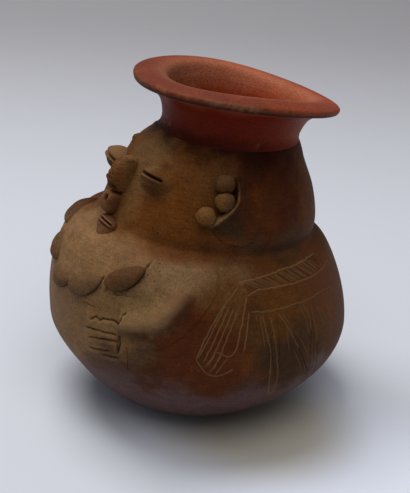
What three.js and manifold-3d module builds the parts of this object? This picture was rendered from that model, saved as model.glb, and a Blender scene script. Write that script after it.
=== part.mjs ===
// Hand-built effigy vase: a squat figure with a round body, a domed head and a flaring neck.
// The figure looks towards -Y, its left side is +X, and the foot rests on the plane z = 0.
import * as THREE from "three";
import { mergeVertices } from "three/addons/utils/BufferGeometryUtils.js";
import Module from "manifold-3d";

const wasm = await Module();
wasm.setup();

// Vessel rings in millimetres: radius of each ring, and heights that build up from the foot
const footRadius = 34;
const bellyRadius = 82.5;
const bellyHeight = 47.4;
const waistRadius = 59.3;
const waistHeight = 100.2;
const cheekRadius = 58.4;
const cheekLift = 3.8;
const headHeight = 48.3;
const neckRadius = 36.6;
const neckLength = 18.7;
const flangeRadius = 46.3;
const lipRadius = 57.3;
const lipLift = 5.1;
const throatRadius = 33.8;
const cheekHeight = waistHeight + cheekLift;
const neckHeight = waistHeight + headHeight;
const flangeHeight = neckHeight + neckLength;
const lipHeight = flangeHeight + lipLift;

// Walls, in millimetres
const bodyWall = 6.5;
const headWall = 6.2;
const neckWall = 6;
const lipThickness = 3.6;
const crestRise = 3;
const lapDrop = 4;
const seatGap = 0.3;

// How full each stretch of wall swells between two rings, where 2 is a quarter ellipse
const lowerFullness = 1.55;
const shoulderFullness = 2.1;
const headFullness = 1.45;

// Hand-built unevenness: tips of the rim in degrees, its droop and its flattened side in millimetres
const waistTip = 4.2;
const neckTip = 4.6;
const lipTip = 9.2;
const lipDroop = 1.8;
const lipFlat = 2.6;
const lipFlatAngle = 150;

// Face, in millimetres
const eyeAngle = 24;
const eyeHalfWidth = 9.5;
const eyeHalfHeight = 6.3;
const leftEyeRise = 5;
const rightEyeRise = 7;
const slitLength = 13.4;
const slitWidth = 1.1;
const slitDepth = 2.4;
const noseHalfWidth = 6.2;
const noseHalfHeight = 9.8;
const noseRise = 9;
const nostrilRadius = 1.3;
const plugAngle = 1;
const plugHalfWidth = 6.2;
const plugHalfHeight = 5.8;
const plugRise = 5.4;
const plugHoleRadius = 0.9;
const plugHoleDepth = 3;
const mouthAngle = 3.5;
const mouthHalfWidth = 8.4;
const mouthHalfHeight = 6;
const mouthDrop = 4.7;
const mouthRise = 3.8;
const mouthSlitDepth = 1.6;

// Ears, in millimetres
const leftEarAngle = 66.5;
const rightEarAngle = 76;
const earBallRadius = 5.1;
const earBallSink = 2.4;
const flapRise = 5.6;
const flapWidth = 9.5;

// Necklace, arms and hands, in millimetres
const pelletHalfLength = 11.4;
const pelletHalfHeight = 5.1;
const pelletRise = 4.2;
const armRise = 3.8;
const armUpperSide = 4.5;
const armLowerSide = 9;
const fingerLength = 20;
const fingerWidth = 4.7;
const fingerCount = 4;
const fingerRise = 2;
const grooveRise = 0.7;
const leftWristAngle = 36;
const rightWristAngle = 48;

// Facets, and how high the steep edge of a pressed-on lump stands
const ringSectors = 48;
const pelletSectors = 20;
const ballSectors = 14;
const bladeSectors = 12;
const edgeRise = 0.9;

const radians = THREE.MathUtils.degToRad;

// Height on the axis of a share of the way up the body or up the head
const onBody = (share) => share * waistHeight;
const onHead = (share) => waistHeight + share * (neckHeight - waistHeight);

// Lean of the axis towards the back, as [height, shift] pairs
const leanStations = [
  [0, 0],
  [0.55 * bellyHeight, 3.6],
  [bellyHeight, 1.9],
  [onBody(0.75), -0.4],
  [onBody(0.9), -0.2],
  [waistHeight, 2.6],
  [onHead(0.12), 5.2],
  [onHead(0.27), 6.9],
  [onHead(0.54), 8.8],
  [onHead(0.82), 10.8],
  [neckHeight, 15.2],
  [lipHeight, 19.7],
  [lipHeight + 2 * crestRise, 21],
];

// Tip of each ring about the X axis, as [height, degrees] pairs; the front is the high side
const tipStations = [
  [0, 0],
  [onBody(0.6), 0],
  [waistHeight, waistTip],
  [neckHeight, neckTip],
  [lipHeight, lipTip],
  [lipHeight + 2 * crestRise, lipTip],
];

function stationIndex(stations, height) {
  let i = 0;
  while (i < stations.length - 2 && height > stations[i + 1][0]) i += 1;
  return i;
}

function straightBetween(stations, height) {
  const i = stationIndex(stations, height);
  const [low, lowValue] = stations[i];
  const [high, highValue] = stations[i + 1];
  const share = THREE.MathUtils.clamp((height - low) / (high - low), 0, 1);
  return lowValue + share * (highValue - lowValue);
}

function smoothBetween(stations, height) {
  const i = stationIndex(stations, height);
  const slope = (k) => {
    const before = stations[Math.max(k - 1, 0)];
    const after = stations[Math.min(k + 1, stations.length - 1)];
    return (after[1] - before[1]) / (after[0] - before[0]);
  };
  const [low, lowValue] = stations[i];
  const [high, highValue] = stations[i + 1];
  const span = high - low;
  const t = THREE.MathUtils.clamp((height - low) / span, 0, 1);
  const t2 = t * t;
  const t3 = t2 * t;
  return (
    (2 * t3 - 3 * t2 + 1) * lowValue +
    (t3 - 2 * t2 + t) * span * slope(i) +
    (3 * t2 - 2 * t3) * highValue +
    (t3 - t2) * span * slope(i + 1)
  );
}

// The vessel is not quite round: this carries a point of the plain turned form to its place
function place(radius, angle, height) {
  const aboveNeck = THREE.MathUtils.clamp((height - neckHeight) / (lipHeight - neckHeight), 0, 1);
  const facing = (1 + Math.cos(angle - radians(lipFlatAngle))) / 2;
  const reach = radius * (1 - (lipFlat / lipRadius) * aboveNeck * facing ** 4);
  const tip = radians(straightBetween(tipStations, height));
  const forward = reach * Math.cos(angle);
  return new THREE.Vector3(
    reach * Math.sin(angle),
    smoothBetween(leanStations, height) - forward * Math.cos(tip),
    height + forward * Math.sin(tip) - lipDroop * aboveNeck * Math.cos(2 * angle),
  );
}

// A stretch of wall between two rings, bulging out by its fullness; steep at the wide end
function swell(narrow, wide, fullness) {
  return (share) => {
    const turn = (share * Math.PI) / 2;
    const across = Math.sin(turn) ** (2 / fullness);
    const along = 1 - Math.cos(turn) ** (2 / fullness);
    return new THREE.Vector2(
      narrow[0] + (wide[0] - narrow[0]) * across,
      narrow[1] + (wide[1] - narrow[1]) * along,
    );
  };
}

// Radius of the outer wall at a height, by the same rule as the swells
function swellRadius(narrow, wide, fullness, height) {
  const share = THREE.MathUtils.clamp((wide[1] - height) / (wide[1] - narrow[1]), 0, 1);
  return narrow[0] + (wide[0] - narrow[0]) * (1 - share ** fullness) ** (1 / fullness);
}

const footRing = [footRadius, 0];
const bellyRing = [bellyRadius, bellyHeight];
const waistRing = [waistRadius, waistHeight];
const cheekRing = [cheekRadius, cheekHeight];
const neckRing = [neckRadius, neckHeight];

function wallRadius(height) {
  if (height < bellyHeight) return swellRadius(footRing, bellyRing, lowerFullness, height);
  if (height < waistHeight) return swellRadius(waistRing, bellyRing, shoulderFullness, height);
  if (height > cheekHeight) return swellRadius(neckRing, cheekRing, headFullness, height);
  const below = (cheekHeight - height) / (cheekHeight - waistHeight);
  return cheekRadius + (waistRadius - cheekRadius) * below ** 2;
}

const wallPoint = (angle, height) => place(wallRadius(height), angle, height);

function wallNormal(angle, height) {
  const nudge = 0.01;
  const round = wallPoint(angle + nudge, height).sub(wallPoint(angle - nudge, height));
  const upward = wallPoint(angle, height + nudge).sub(wallPoint(angle, height - nudge));
  return round.cross(upward).normalize();
}

const abovePoint = (spot, rise) =>
  wallPoint(spot.angle, spot.height).addScaledVector(wallNormal(spot.angle, spot.height), rise);

// A spot on the wall, and a step over the wall from it: along in the ring's direction, up the wall
const spotAt = (degrees, height) => ({ angle: radians(degrees), height });

function stepOver(spot, along, up) {
  const steepness = Math.hypot(
    ...wallNormal(spot.angle, spot.height).toArray().slice(0, 2),
  );
  return {
    angle: spot.angle + along / wallRadius(spot.height),
    height: spot.height + up * steepness,
  };
}

function solidOf(geometry) {
  const bare = geometry.clone();
  bare.deleteAttribute("normal");
  bare.deleteAttribute("uv");
  const merged = mergeVertices(bare, 1e-3);
  return new wasm.Manifold(
    new wasm.Mesh({
      numProp: 3,
      vertProperties: merged.attributes.position.array,
      triVerts: new Uint32Array(merged.index.array),
    }),
  );
}

function geometryOf(solid) {
  const mesh = solid.getMesh();
  const geometry = new THREE.BufferGeometry();
  geometry.setAttribute("position", new THREE.BufferAttribute(mesh.vertProperties, 3));
  geometry.setIndex(new THREE.BufferAttribute(mesh.triVerts, 1));
  return geometry;
}

// Turns a profile of [radius, height] points, closed on itself or on the axis, and warps it
function turned(profile) {
  const points = profile.map((p) => new THREE.Vector2(p.x, p.y));
  const geometry = new THREE.LatheGeometry(points, ringSectors);
  const position = geometry.attributes.position;
  for (let i = 0; i < position.count; i += 1) {
    const x = position.getX(i);
    const z = position.getZ(i);
    const moved = place(Math.hypot(x, z), Math.atan2(x, z), position.getY(i));
    position.setXYZ(i, moved.x, moved.y, moved.z);
  }
  return geometryOf(solidOf(geometry));
}

// Points of a stretch of wall, from its first share to its last, and the same set in by a depth
function stretch(curve, from, to, steps, depth = 0) {
  const points = [];
  for (let i = 0; i <= steps; i += 1) {
    const share = from + ((to - from) * i) / steps;
    const point = curve(share);
    const before = curve(Math.max(share - 0.01, 0));
    const after = curve(Math.min(share + 0.01, 1));
    const run = after.clone().sub(before).normalize();
    const side = curve(1).y > curve(0).y ? 1 : -1;
    points.push(new THREE.Vector2(point.x - side * depth * run.y, point.y + side * depth * run.x));
  }
  return points;
}

const point = (radius, height) => new THREE.Vector2(radius, height);
const closed = (points) => [...points, points[0].clone()];

const lowerCurve = swell(footRing, bellyRing, lowerFullness);
const shoulderCurve = swell(waistRing, bellyRing, shoulderFullness);
const headCurve = swell(neckRing, cheekRing, headFullness);

function bellyBowl() {
  const outer = stretch(lowerCurve, 0, 1, 8);
  const inner = stretch(lowerCurve, 0, 0.97, 7, bodyWall).reverse();
  return turned([
    point(0, 0),
    ...outer,
    point(bellyRadius - bodyWall, bellyHeight - lapDrop),
    ...inner.slice(1),
    point(0, bodyWall),
  ]);
}

function shoulderWall() {
  const outer = stretch(shoulderCurve, 0, 1, 8).reverse();
  const inner = stretch(shoulderCurve, 0.12, 0.95, 6, bodyWall);
  outer[0].y += seatGap;
  return turned(
    closed([
      ...outer,
      point(waistRadius - headWall, waistHeight - bodyWall),
      ...inner,
      point(bellyRadius - bodyWall, bellyHeight - lapDrop + seatGap),
    ]),
  );
}

function headDome() {
  const outer = stretch(headCurve, 0, 1, 9).reverse();
  const inner = stretch(headCurve, 0.14, 1, 7, headWall);
  return turned(
    closed([
      point(waistRadius, waistHeight + seatGap),
      ...outer,
      point(neckRadius - neckWall, neckHeight - headWall),
      ...inner,
      point(waistRadius - headWall, waistHeight - bodyWall + seatGap),
    ]),
  );
}

// The neck is nearly straight at first and then flares out under the flange
function neckCollar() {
  const flare = new THREE.CubicBezierCurve(
    point(neckRadius, neckHeight + seatGap),
    point(neckRadius + 1.5, neckHeight + 0.4 * (flangeHeight - neckHeight)),
    point(neckRadius + 4, neckHeight + 0.75 * (flangeHeight - neckHeight)),
    point(flangeRadius, flangeHeight),
  );
  return turned(
    closed([
      ...flare.getPoints(5),
      point(throatRadius + 1, flangeHeight - 1),
      point(throatRadius - 0.6, flangeHeight - 6),
      point(throatRadius - 2, neckHeight + 5),
      point(neckRadius - neckWall, neckHeight - headWall + seatGap),
    ]),
  );
}

// The flange droops to a blunt lip, and its top rolls over a soft crest into the throat
function rimFlange() {
  const top = new THREE.SplineCurve([
    point(lipRadius, lipHeight),
    point(lipRadius - 1.2, lipHeight + 0.35 * crestRise),
    point(lipRadius - 6, lipHeight + 0.8 * crestRise),
    point(lipRadius - 11.5, lipHeight + crestRise),
    point(lipRadius - 17.5, lipHeight + 0.45 * crestRise),
    point(throatRadius + 1.8, flangeHeight + 1),
  ]);
  return turned(
    closed([
      point(flangeRadius, flangeHeight + seatGap),
      point(lipRadius - 4.3, lipHeight + 0.6 - lipThickness),
      point(lipRadius - 0.7, lipHeight - 0.4 * lipThickness),
      ...top.getPoints(9),
      point(throatRadius + 1, flangeHeight - 1 + seatGap),
    ]),
  );
}

// Fills a closed skin between rings of points that all have the same count
function skin(rings, capStart, capEnd) {
  const count = rings[0].length;
  const vertices = rings.flat().flatMap((p) => p.toArray());
  const faces = [];
  for (let j = 0; j < rings.length - 1; j += 1) {
    for (let i = 0; i < count; i += 1) {
      const a = j * count + i;
      const b = j * count + ((i + 1) % count);
      faces.push(a, b, b + count, a, b + count, a + count);
    }
  }
  const cap = (middle, ring, flip) => {
    const centre = vertices.length / 3;
    vertices.push(...middle.toArray());
    for (let i = 0; i < count; i += 1) {
      const a = ring * count + i;
      const b = ring * count + ((i + 1) % count);
      faces.push(centre, flip ? b : a, flip ? a : b);
    }
  };
  cap(capStart, 0, true);
  cap(capEnd, rings.length - 1, false);
  const geometry = new THREE.BufferGeometry();
  geometry.setAttribute("position", new THREE.Float32BufferAttribute(vertices, 3));
  geometry.setIndex(faces);
  return geometry;
}

// A lump of clay pressed on the wall: an oval dome whose underside follows the wall.
// taper narrows it and lowers it towards its upper end.
function lump(options) {
  const { spot, halfWidth, halfHeight, rise, turn = 0, taper = 0, sink = seatGap } = options;
  const sectors = options.sectors ?? pelletSectors;
  const topRings = options.rings ?? 4;
  const spotOf = (share, i) => {
    const round = (2 * Math.PI * i) / sectors;
    const up = share * halfHeight * Math.sin(round);
    const along = share * halfWidth * Math.cos(round) * (1 - (taper * up) / halfHeight);
    const tilt = radians(turn);
    return stepOver(
      spot,
      along * Math.cos(tilt) - up * Math.sin(tilt),
      along * Math.sin(tilt) + up * Math.cos(tilt),
    );
  };
  const lower = (share, i) => 1 - taper * share * Math.sin((2 * Math.PI * i) / sectors);
  const ringAt = (share, height) =>
    Array.from({ length: sectors }, (_, i) => abovePoint(spotOf(share, i), height(share, i)));
  const rings = [ringAt(0.5, () => sink), ringAt(1, () => sink)];
  for (let j = 0; j < topRings; j += 1) {
    const climb = ((j / topRings) * Math.PI) / 2;
    const edge = sink + edgeRise;
    const height = (share, i) => edge + (rise * lower(share, i) - edge) * Math.sin(climb);
    rings.push(ringAt(Math.cos(climb), height));
  }
  return skin(rings, abovePoint(spot, sink), abovePoint(spot, rise));
}

// A cutter through a lump's top: an oval blade from a low height to a high one
function blade({ spot, halfWidth, halfHeight, turn = 0, low, high }) {
  const ovalAt = (height) =>
    Array.from({ length: bladeSectors }, (_, i) => {
      const round = (2 * Math.PI * i) / bladeSectors;
      const along = halfWidth * Math.cos(round);
      const up = halfHeight * Math.sin(round);
      const tilt = radians(turn);
      return abovePoint(
        stepOver(
          spot,
          along * Math.cos(tilt) - up * Math.sin(tilt),
          along * Math.sin(tilt) + up * Math.cos(tilt),
        ),
        height,
      );
    });
  return skin([ovalAt(low), ovalAt(high)], abovePoint(spot, low), abovePoint(spot, high));
}

const cutFrom = (geometry, ...cutters) =>
  geometryOf(cutters.reduce((solid, cutter) => solid.subtract(solidOf(cutter)), solidOf(geometry)));

// A strip of clay laid on the wall along stations; each section lists [along, up, rise] points
function strip(stations) {
  const rings = stations.map(({ spot, section }) => {
    const top = section.map(([along, up, rise]) => abovePoint(stepOver(spot, along, up), rise));
    const under = section.map(([along, up]) => abovePoint(stepOver(spot, along, up), seatGap));
    return [...top, ...under.reverse()];
  });
  const middle = (ring) =>
    ring.reduce((sum, p) => sum.add(p), new THREE.Vector3()).divideScalar(ring.length);
  return skin(rings, middle(rings[0]), middle(rings[rings.length - 1]));
}

// The same shape on the figure's other side
function mirrored(geometry) {
  const other = geometry.clone().scale(-1, 1, 1);
  const index = other.index.array;
  for (let i = 0; i < index.length; i += 3) {
    [index[i + 1], index[i + 2]] = [index[i + 2], index[i + 1]];
  }
  return other;
}

function eye(degrees, share, rise) {
  const spot = spotAt(degrees, onHead(share));
  const slitSpot = stepOver(spot, 0, 0.2 * eyeHalfHeight);
  return cutFrom(
    lump({ spot, halfWidth: eyeHalfWidth, halfHeight: eyeHalfHeight, rise }),
    blade({
      spot: slitSpot,
      halfWidth: slitLength / 2,
      halfHeight: slitWidth / 2,
      low: rise - slitDepth,
      high: rise + 2,
    }),
  );
}

const noseSpot = spotAt(1, onHead(0.545));
const noseFoot = (side) => stepOver(noseSpot, side * 0.55 * noseHalfWidth, -0.8 * noseHalfHeight);

function nose() {
  const nostril = (side) =>
    blade({
      spot: noseFoot(side),
      halfWidth: nostrilRadius,
      halfHeight: nostrilRadius,
      low: 0.35 * noseRise,
      high: 1.6 * noseRise,
    });
  return cutFrom(
    lump({
      spot: noseSpot,
      halfWidth: noseHalfWidth,
      halfHeight: noseHalfHeight,
      rise: noseRise,
      taper: 0.3,
      rings: 5,
    }),
    nostril(-1),
    nostril(1),
  );
}

const noseEnd = stepOver(noseSpot, 0, -noseHalfHeight).height;
const plugSpot = stepOver(spotAt(plugAngle, noseEnd), 0, -plugHalfHeight - 3 * seatGap);

function plugForm(grow) {
  return lump({
    spot: plugSpot,
    halfWidth: plugHalfWidth + grow,
    halfHeight: plugHalfHeight + grow,
    rise: plugRise + grow,
    sink: -2 * seatGap,
  });
}

function nosePlug() {
  return cutFrom(
    plugForm(0),
    seatCutter(),
    blade({
      spot: stepOver(plugSpot, -0.25 * plugHalfWidth, 0.3 * plugHalfHeight),
      halfWidth: plugHoleRadius,
      halfHeight: plugHoleRadius,
      low: plugRise - plugHoleDepth,
      high: plugRise + 2,
    }),
  );
}

// Vessel filled solid and grown by the seat gap, to cut what is pressed over a crease or a ball
function seatCutter() {
  return turned([
    point(0, 0),
    ...stretch(lowerCurve, 0, 1, 8, -seatGap),
    ...stretch(shoulderCurve, 0, 1, 8, -seatGap).reverse().slice(1, -1),
    point(waistRadius + seatGap, waistHeight + seatGap),
    ...stretch(headCurve, 0, 1, 9, -seatGap).reverse(),
    point(0, neckHeight),
  ]);
}

// The mouth hangs under the plug, in the crease, half on the head and half on the chest
function mouth() {
  const plugEnd = stepOver(plugSpot, 0, -plugHalfHeight).height;
  const spot = spotAt(mouthAngle, plugEnd - mouthDrop);
  const out = wallNormal(spot.angle, spot.height);
  const across = new THREE.Vector3(Math.cos(spot.angle), Math.sin(spot.angle), 0);
  const up = new THREE.Vector3().crossVectors(out, across).normalize();
  const middle = wallPoint(spot.angle, spot.height);
  const seat = new THREE.Matrix4().makeBasis(across, up, out).setPosition(middle);
  const lips = new THREE.SphereGeometry(1, ballSectors, ballSectors - 4);
  lips.scale(mouthHalfWidth, mouthHalfHeight, mouthRise).applyMatrix4(seat);
  const slit = new THREE.SphereGeometry(1, ballSectors, ballSectors / 2);
  slit.scale(0.85 * mouthHalfWidth, 0.5, mouthSlitDepth);
  slit.translate(0, 0.2 * mouthHalfHeight, mouthRise).applyMatrix4(seat);
  return cutFrom(lips, seatCutter(), plugForm(seatGap), slit);
}

// Three balls of clay in each ear: top, middle and the one in front at the bottom, as steps
// from the middle of the ear; the right ear lies further back and its front ball further out
const leftEar = {
  spot: spotAt(leftEarAngle, onHead(0.62)),
  balls: [
    [0, 4.9],
    [0.9, -3.8],
    [-6.6, -12],
  ],
};
const rightEar = {
  spot: spotAt(rightEarAngle, onHead(0.63)),
  balls: [
    [0, 4.2],
    [0.7, -4.3],
    [-9.6, -7],
  ],
};

function earBallForm({ spot, balls }, index, grow) {
  const seat = abovePoint(stepOver(spot, ...balls[index]), earBallSink);
  const ball = new THREE.SphereGeometry(earBallRadius + grow, ballSectors, ballSectors - 4);
  return ball.translate(seat.x, seat.y, seat.z);
}

function earBall(ear, index) {
  const before = ear.balls.slice(0, index).map((_, k) => earBallForm(ear, k, seatGap));
  return cutFrom(earBallForm(ear, index, 0), seatCutter(), ...before);
}

// The ear flap curls round the balls: sharp crest on the inside, broad slope on the outside
const flapPath = [
  { along: 5.4, up: 9.4, rise: 0.45, width: 0.45 },
  { along: 6.2, up: 5.6, rise: 0.8, width: 0.75 },
  { along: 6.7, up: 1.0, rise: 0.95, width: 0.9 },
  { along: 6.3, up: -3.4, rise: 1, width: 1 },
  { along: 4.2, up: -7.6, rise: 1, width: 1.2 },
  { along: 1.2, up: -11.4, rise: 0.9, width: 1.35 },
  { along: -1.8, up: -14.8, rise: 0.7, width: 1.2 },
  { along: -4.4, up: -17.8, rise: 0.4, width: 0.7 },
];

function earFlap(ear) {
  const stations = flapPath.map(({ along, up, rise, width }, k) => {
    const before = flapPath[Math.max(k - 1, 0)];
    const after = flapPath[Math.min(k + 1, flapPath.length - 1)];
    const run = new THREE.Vector2(after.along - before.along, after.up - before.up).normalize();
    const outward = new THREE.Vector2(-run.y, run.x);
    const crest = rise * flapRise;
    const slope = width * flapWidth;
    const across = [
      [slope, edgeRise],
      [0.7 * slope, 0.3 * crest + 0.5],
      [0.35 * slope, 0.68 * crest + 0.3],
      [0, crest],
      [-0.7, 0.75 * crest],
      [-1.3, edgeRise],
    ];
    return {
      spot: stepOver(ear.spot, along, up),
      section: across.map(([out, high]) => [outward.x * out, outward.y * out, high]),
    };
  });
  return cutFrom(strip(stations), ...ear.balls.map((_, k) => earBallForm(ear, k, seatGap)));
}

// Necklace: a middle pellet and two more up each side, unevenly set, as [degrees, height share]
const necklaceSpots = {
  front: { degrees: 1, share: 0.775, turn: 0, length: 0.83, height: 0.95 },
  left: [
    { degrees: 16.3, share: 0.798, turn: 20, length: 1.02, height: 1.08 },
    { degrees: 34.4, share: 0.905, turn: 29, length: 1, height: 1.12 },
  ],
  right: [
    { degrees: 13, share: 0.862, turn: 36, length: 0.72, height: 0.92 },
    { degrees: 30, share: 0.965, turn: 26, length: 0.92, height: 0.92 },
  ],
};

function necklacePellet({ degrees, share, turn, length, height }) {
  const pellet = lump({
    spot: spotAt(degrees, onBody(share)),
    halfWidth: length * pelletHalfLength,
    halfHeight: height * pelletHalfHeight,
    rise: pelletRise,
    turn,
    sink: -2 * seatGap,
  });
  return cutFrom(pellet, seatCutter());
}

// Crest of the arm from the wrist over the elbow to the shoulder, as degrees past the wrist and
// share of the body's height
const armPath = [
  [0, 0.69],
  [4.5, 0.72],
  [9, 0.755],
  [13.5, 0.79],
  [17.5, 0.83],
  [21.5, 0.875],
  [25, 0.91],
];

function arm(wristAngle) {
  const last = armPath.length - 1;
  return strip(
    armPath.map(([degrees, share], k) => {
      const spot = spotAt(wristAngle + degrees, onBody(share));
      if (k === 0) spot.angle += (2 * seatGap) / wallRadius(spot.height);
      const [beforeDegrees, beforeShare] = armPath[Math.max(k - 1, 0)];
      const [afterDegrees, afterShare] = armPath[Math.min(k + 1, last)];
      const run = new THREE.Vector2(
        radians(afterDegrees - beforeDegrees) * wallRadius(spot.height),
        onBody(afterShare - beforeShare),
      ).normalize();
      if (k === 0) run.set(1, 0);
      const lower = new THREE.Vector2(run.y, -run.x);
      const fade = k === last ? 0.5 : 1;
      const crest = armRise * fade;
      const across = [
        [-armUpperSide, edgeRise],
        [-0.6 * armUpperSide, 0.62 * crest],
        [0, crest],
        [0.3 * armLowerSide, 0.95 * crest],
        [0.7 * armLowerSide, 0.6 * crest],
        [armLowerSide, edgeRise],
      ];
      return {
        spot,
        section: across.map(([out, high]) => [lower.x * out * fade, lower.y * out * fade, high]),
      };
    }),
  );
}

// The hand is a thin pad with one rounded ridge for each finger and a groove between fingers
function hand(wristAngle) {
  const perFinger = 4;
  const wrist = spotAt(wristAngle, onBody(0.6));
  const pitch = fingerWidth;
  const stations = [];
  for (let k = 0; k <= fingerCount * perFinger; k += 1) {
    const share = (k % perFinger) / perFinger;
    const finger = Math.min(Math.floor(k / perFinger), fingerCount - 1);
    const ridge = Math.sin(share * Math.PI) ** 0.6;
    const rise = grooveRise + (fingerRise - grooveRise) * ridge;
    const reach = fingerLength * (finger === 0 ? 0.75 : 1) - 1.2 * (1 - ridge);
    const up = (k / perFinger - fingerCount / 2) * pitch;
    stations.push({
      spot: stepOver(wrist, 0, up),
      section: [
        [-reach, 0, 0.6],
        [-0.93 * reach, 0, 0.8 * rise],
        [-0.7 * reach, 0, rise],
        [-0.35 * reach, 0, rise],
        [0, 0, rise],
      ],
    });
  }
  return strip(stations);
}

const clay = (color, roughness) =>
  new THREE.MeshStandardMaterial({ color, roughness, metalness: 0 });

const finishes = {
  bodyClay: clay(0x7a5032, 0.6),
  headClay: clay(0x7f5530, 0.6),
  redSlip: clay(0xa04a32, 0.55),
  palePellet: clay(0x7b6048, 0.75),
  chestClay: clay(0x85684c, 0.7),
};

const vase = new THREE.Group();

function addPiece(name, geometry, finish) {
  const mesh = new THREE.Mesh(geometry, finishes[finish]);
  mesh.name = name;
  vase.add(mesh);
}

addPiece("belly_bowl", bellyBowl(), "bodyClay");
addPiece("shoulder_wall", shoulderWall(), "bodyClay");
addPiece("head_dome", headDome(), "headClay");
addPiece("neck_collar", neckCollar(), "redSlip");
addPiece("rim_flange", rimFlange(), "redSlip");

addPiece("left_eye", eye(eyeAngle, 0.625, leftEyeRise), "headClay");
addPiece("right_eye", eye(-eyeAngle, 0.58, rightEyeRise), "headClay");
addPiece("nose", nose(), "headClay");
addPiece("nose_plug", nosePlug(), "palePellet");
addPiece("mouth", mouth(), "palePellet");

addPiece("left_ear_flap", earFlap(leftEar), "headClay");
addPiece("right_ear_flap", mirrored(earFlap(rightEar)), "headClay");
for (let k = 0; k < leftEar.balls.length; k += 1) {
  addPiece(`left_ear_ball_${k + 1}`, earBall(leftEar, k), "palePellet");
  addPiece(`right_ear_ball_${k + 1}`, mirrored(earBall(rightEar, k)), "palePellet");
}

addPiece("necklace_front_pellet", necklacePellet(necklaceSpots.front), "palePellet");
for (let k = 0; k < necklaceSpots.left.length; k += 1) {
  const left = necklacePellet(necklaceSpots.left[k]);
  const right = necklacePellet(necklaceSpots.right[k]);
  addPiece(`necklace_left_pellet_${k + 1}`, left, "palePellet");
  addPiece(`necklace_right_pellet_${k + 1}`, mirrored(right), "palePellet");
}

addPiece("left_arm", arm(leftWristAngle), "chestClay");
addPiece("right_arm", mirrored(arm(rightWristAngle)), "chestClay");
addPiece("left_hand", hand(leftWristAngle), "chestClay");
addPiece("right_hand", mirrored(hand(rightWristAngle)), "chestClay");

export default vase;
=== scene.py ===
from functools import lru_cache
from math import atan2, cos, exp, hypot, pi, radians, sin

import bmesh
import bpy
from mathutils import Matrix, Vector, noise
from mathutils.kdtree import KDTree


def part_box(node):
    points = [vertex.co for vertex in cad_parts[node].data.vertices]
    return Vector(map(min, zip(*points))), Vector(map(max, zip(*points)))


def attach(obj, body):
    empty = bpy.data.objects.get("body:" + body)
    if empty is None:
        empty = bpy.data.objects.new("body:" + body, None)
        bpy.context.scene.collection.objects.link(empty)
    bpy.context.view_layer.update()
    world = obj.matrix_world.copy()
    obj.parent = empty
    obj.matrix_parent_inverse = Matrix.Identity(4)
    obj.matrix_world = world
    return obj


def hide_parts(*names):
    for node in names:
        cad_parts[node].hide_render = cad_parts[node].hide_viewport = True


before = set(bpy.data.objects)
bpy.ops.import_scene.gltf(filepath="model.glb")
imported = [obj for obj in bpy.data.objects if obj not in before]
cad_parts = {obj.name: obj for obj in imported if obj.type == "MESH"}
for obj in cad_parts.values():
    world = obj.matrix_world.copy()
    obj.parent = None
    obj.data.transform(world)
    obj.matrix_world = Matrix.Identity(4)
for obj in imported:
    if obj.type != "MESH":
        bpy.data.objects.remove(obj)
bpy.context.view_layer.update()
mm = 0.001  # shapes are worked out in millimetres and scaled once, when a piece is finished
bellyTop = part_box("belly_bowl")[1] / mm
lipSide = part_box("rim_flange")[1] / mm
print("frame loaded:", len(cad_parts), "nodes")

# The vessel: rings as (radius, height), fullness of the walls between them, walls, and the
# hand-built unevenness: how far the axis leans back and how many degrees each ring tips
vessel = {
    "foot": (34.0, 0.0),
    "belly": (bellyTop.x, bellyTop.z),
    "waist": (59.3, 100.2),
    "cheek": (58.4, 104.0),
    "neck": (36.6, 148.5),
    "flange": (46.3, 167.2),
    "lip": (lipSide.x, 172.3),
    "throat": 33.8,
    "lowerFullness": 1.55,
    "shoulderFullness": 2.1,
    "headFullness": 1.45,
    "bodyWall": 6.5,
    "headWall": 6.2,
    "neckWall": 6.0,
    "lipThickness": 3.6,
    "crestRise": 3.0,
    "lapDrop": 4.0,
    "lipDroop": 1.8,
    "lipFlat": 1.3,
    "lipFlatAngle": radians(150),
    "lean": [(0, 0), (26.1, 3.6), (47.4, 1.9), (75.2, -0.4), (90.2, -0.2), (100.2, 2.6), (106, 5.2),
             (113.2, 6.9), (126.3, 8.8), (139.8, 10.8), (148.5, 15.2), (172.3, 19.7), (178.3, 21)],
    "tip": [(0, 0), (60.1, 0), (100.2, 4.2), (148.5, 4.6), (172.3, 9.2), (178.3, 9.2)],
}
# facets round the vessel, their height in millimetres, and how near a line they are halved, and again
grid = {"turns": 360, "spacing": 1.35, "innerSpacing": 4.0, "fine": (1.9, 0.9)}


def stationOf(stations, height):
    k = 0
    while k < len(stations) - 2 and height > stations[k + 1][0]:
        k += 1
    return k


def clamped(value):
    return min(max(value, 0), 1)


@lru_cache(maxsize=None)
def leanAt(height):
    stations = vessel["lean"]
    k = stationOf(stations, height)

    def slope(i):
        before = stations[max(i - 1, 0)]
        after = stations[min(i + 1, len(stations) - 1)]
        return (after[1] - before[1]) / (after[0] - before[0])

    (low, lowShift), (high, highShift) = stations[k], stations[k + 1]
    span = high - low
    t = clamped((height - low) / span)
    return ((2 * t**3 - 3 * t**2 + 1) * lowShift + (t**3 - 2 * t**2 + t) * span * slope(k)
            + (3 * t**2 - 2 * t**3) * highShift + (t**3 - t**2) * span * slope(k + 1))


@lru_cache(maxsize=None)
def tipAt(height):
    stations = vessel["tip"]
    k = stationOf(stations, height)
    (low, lowTip), (high, highTip) = stations[k], stations[k + 1]
    t = clamped((height - low) / (high - low))
    return radians(lowTip + t * (highTip - lowTip))


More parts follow.
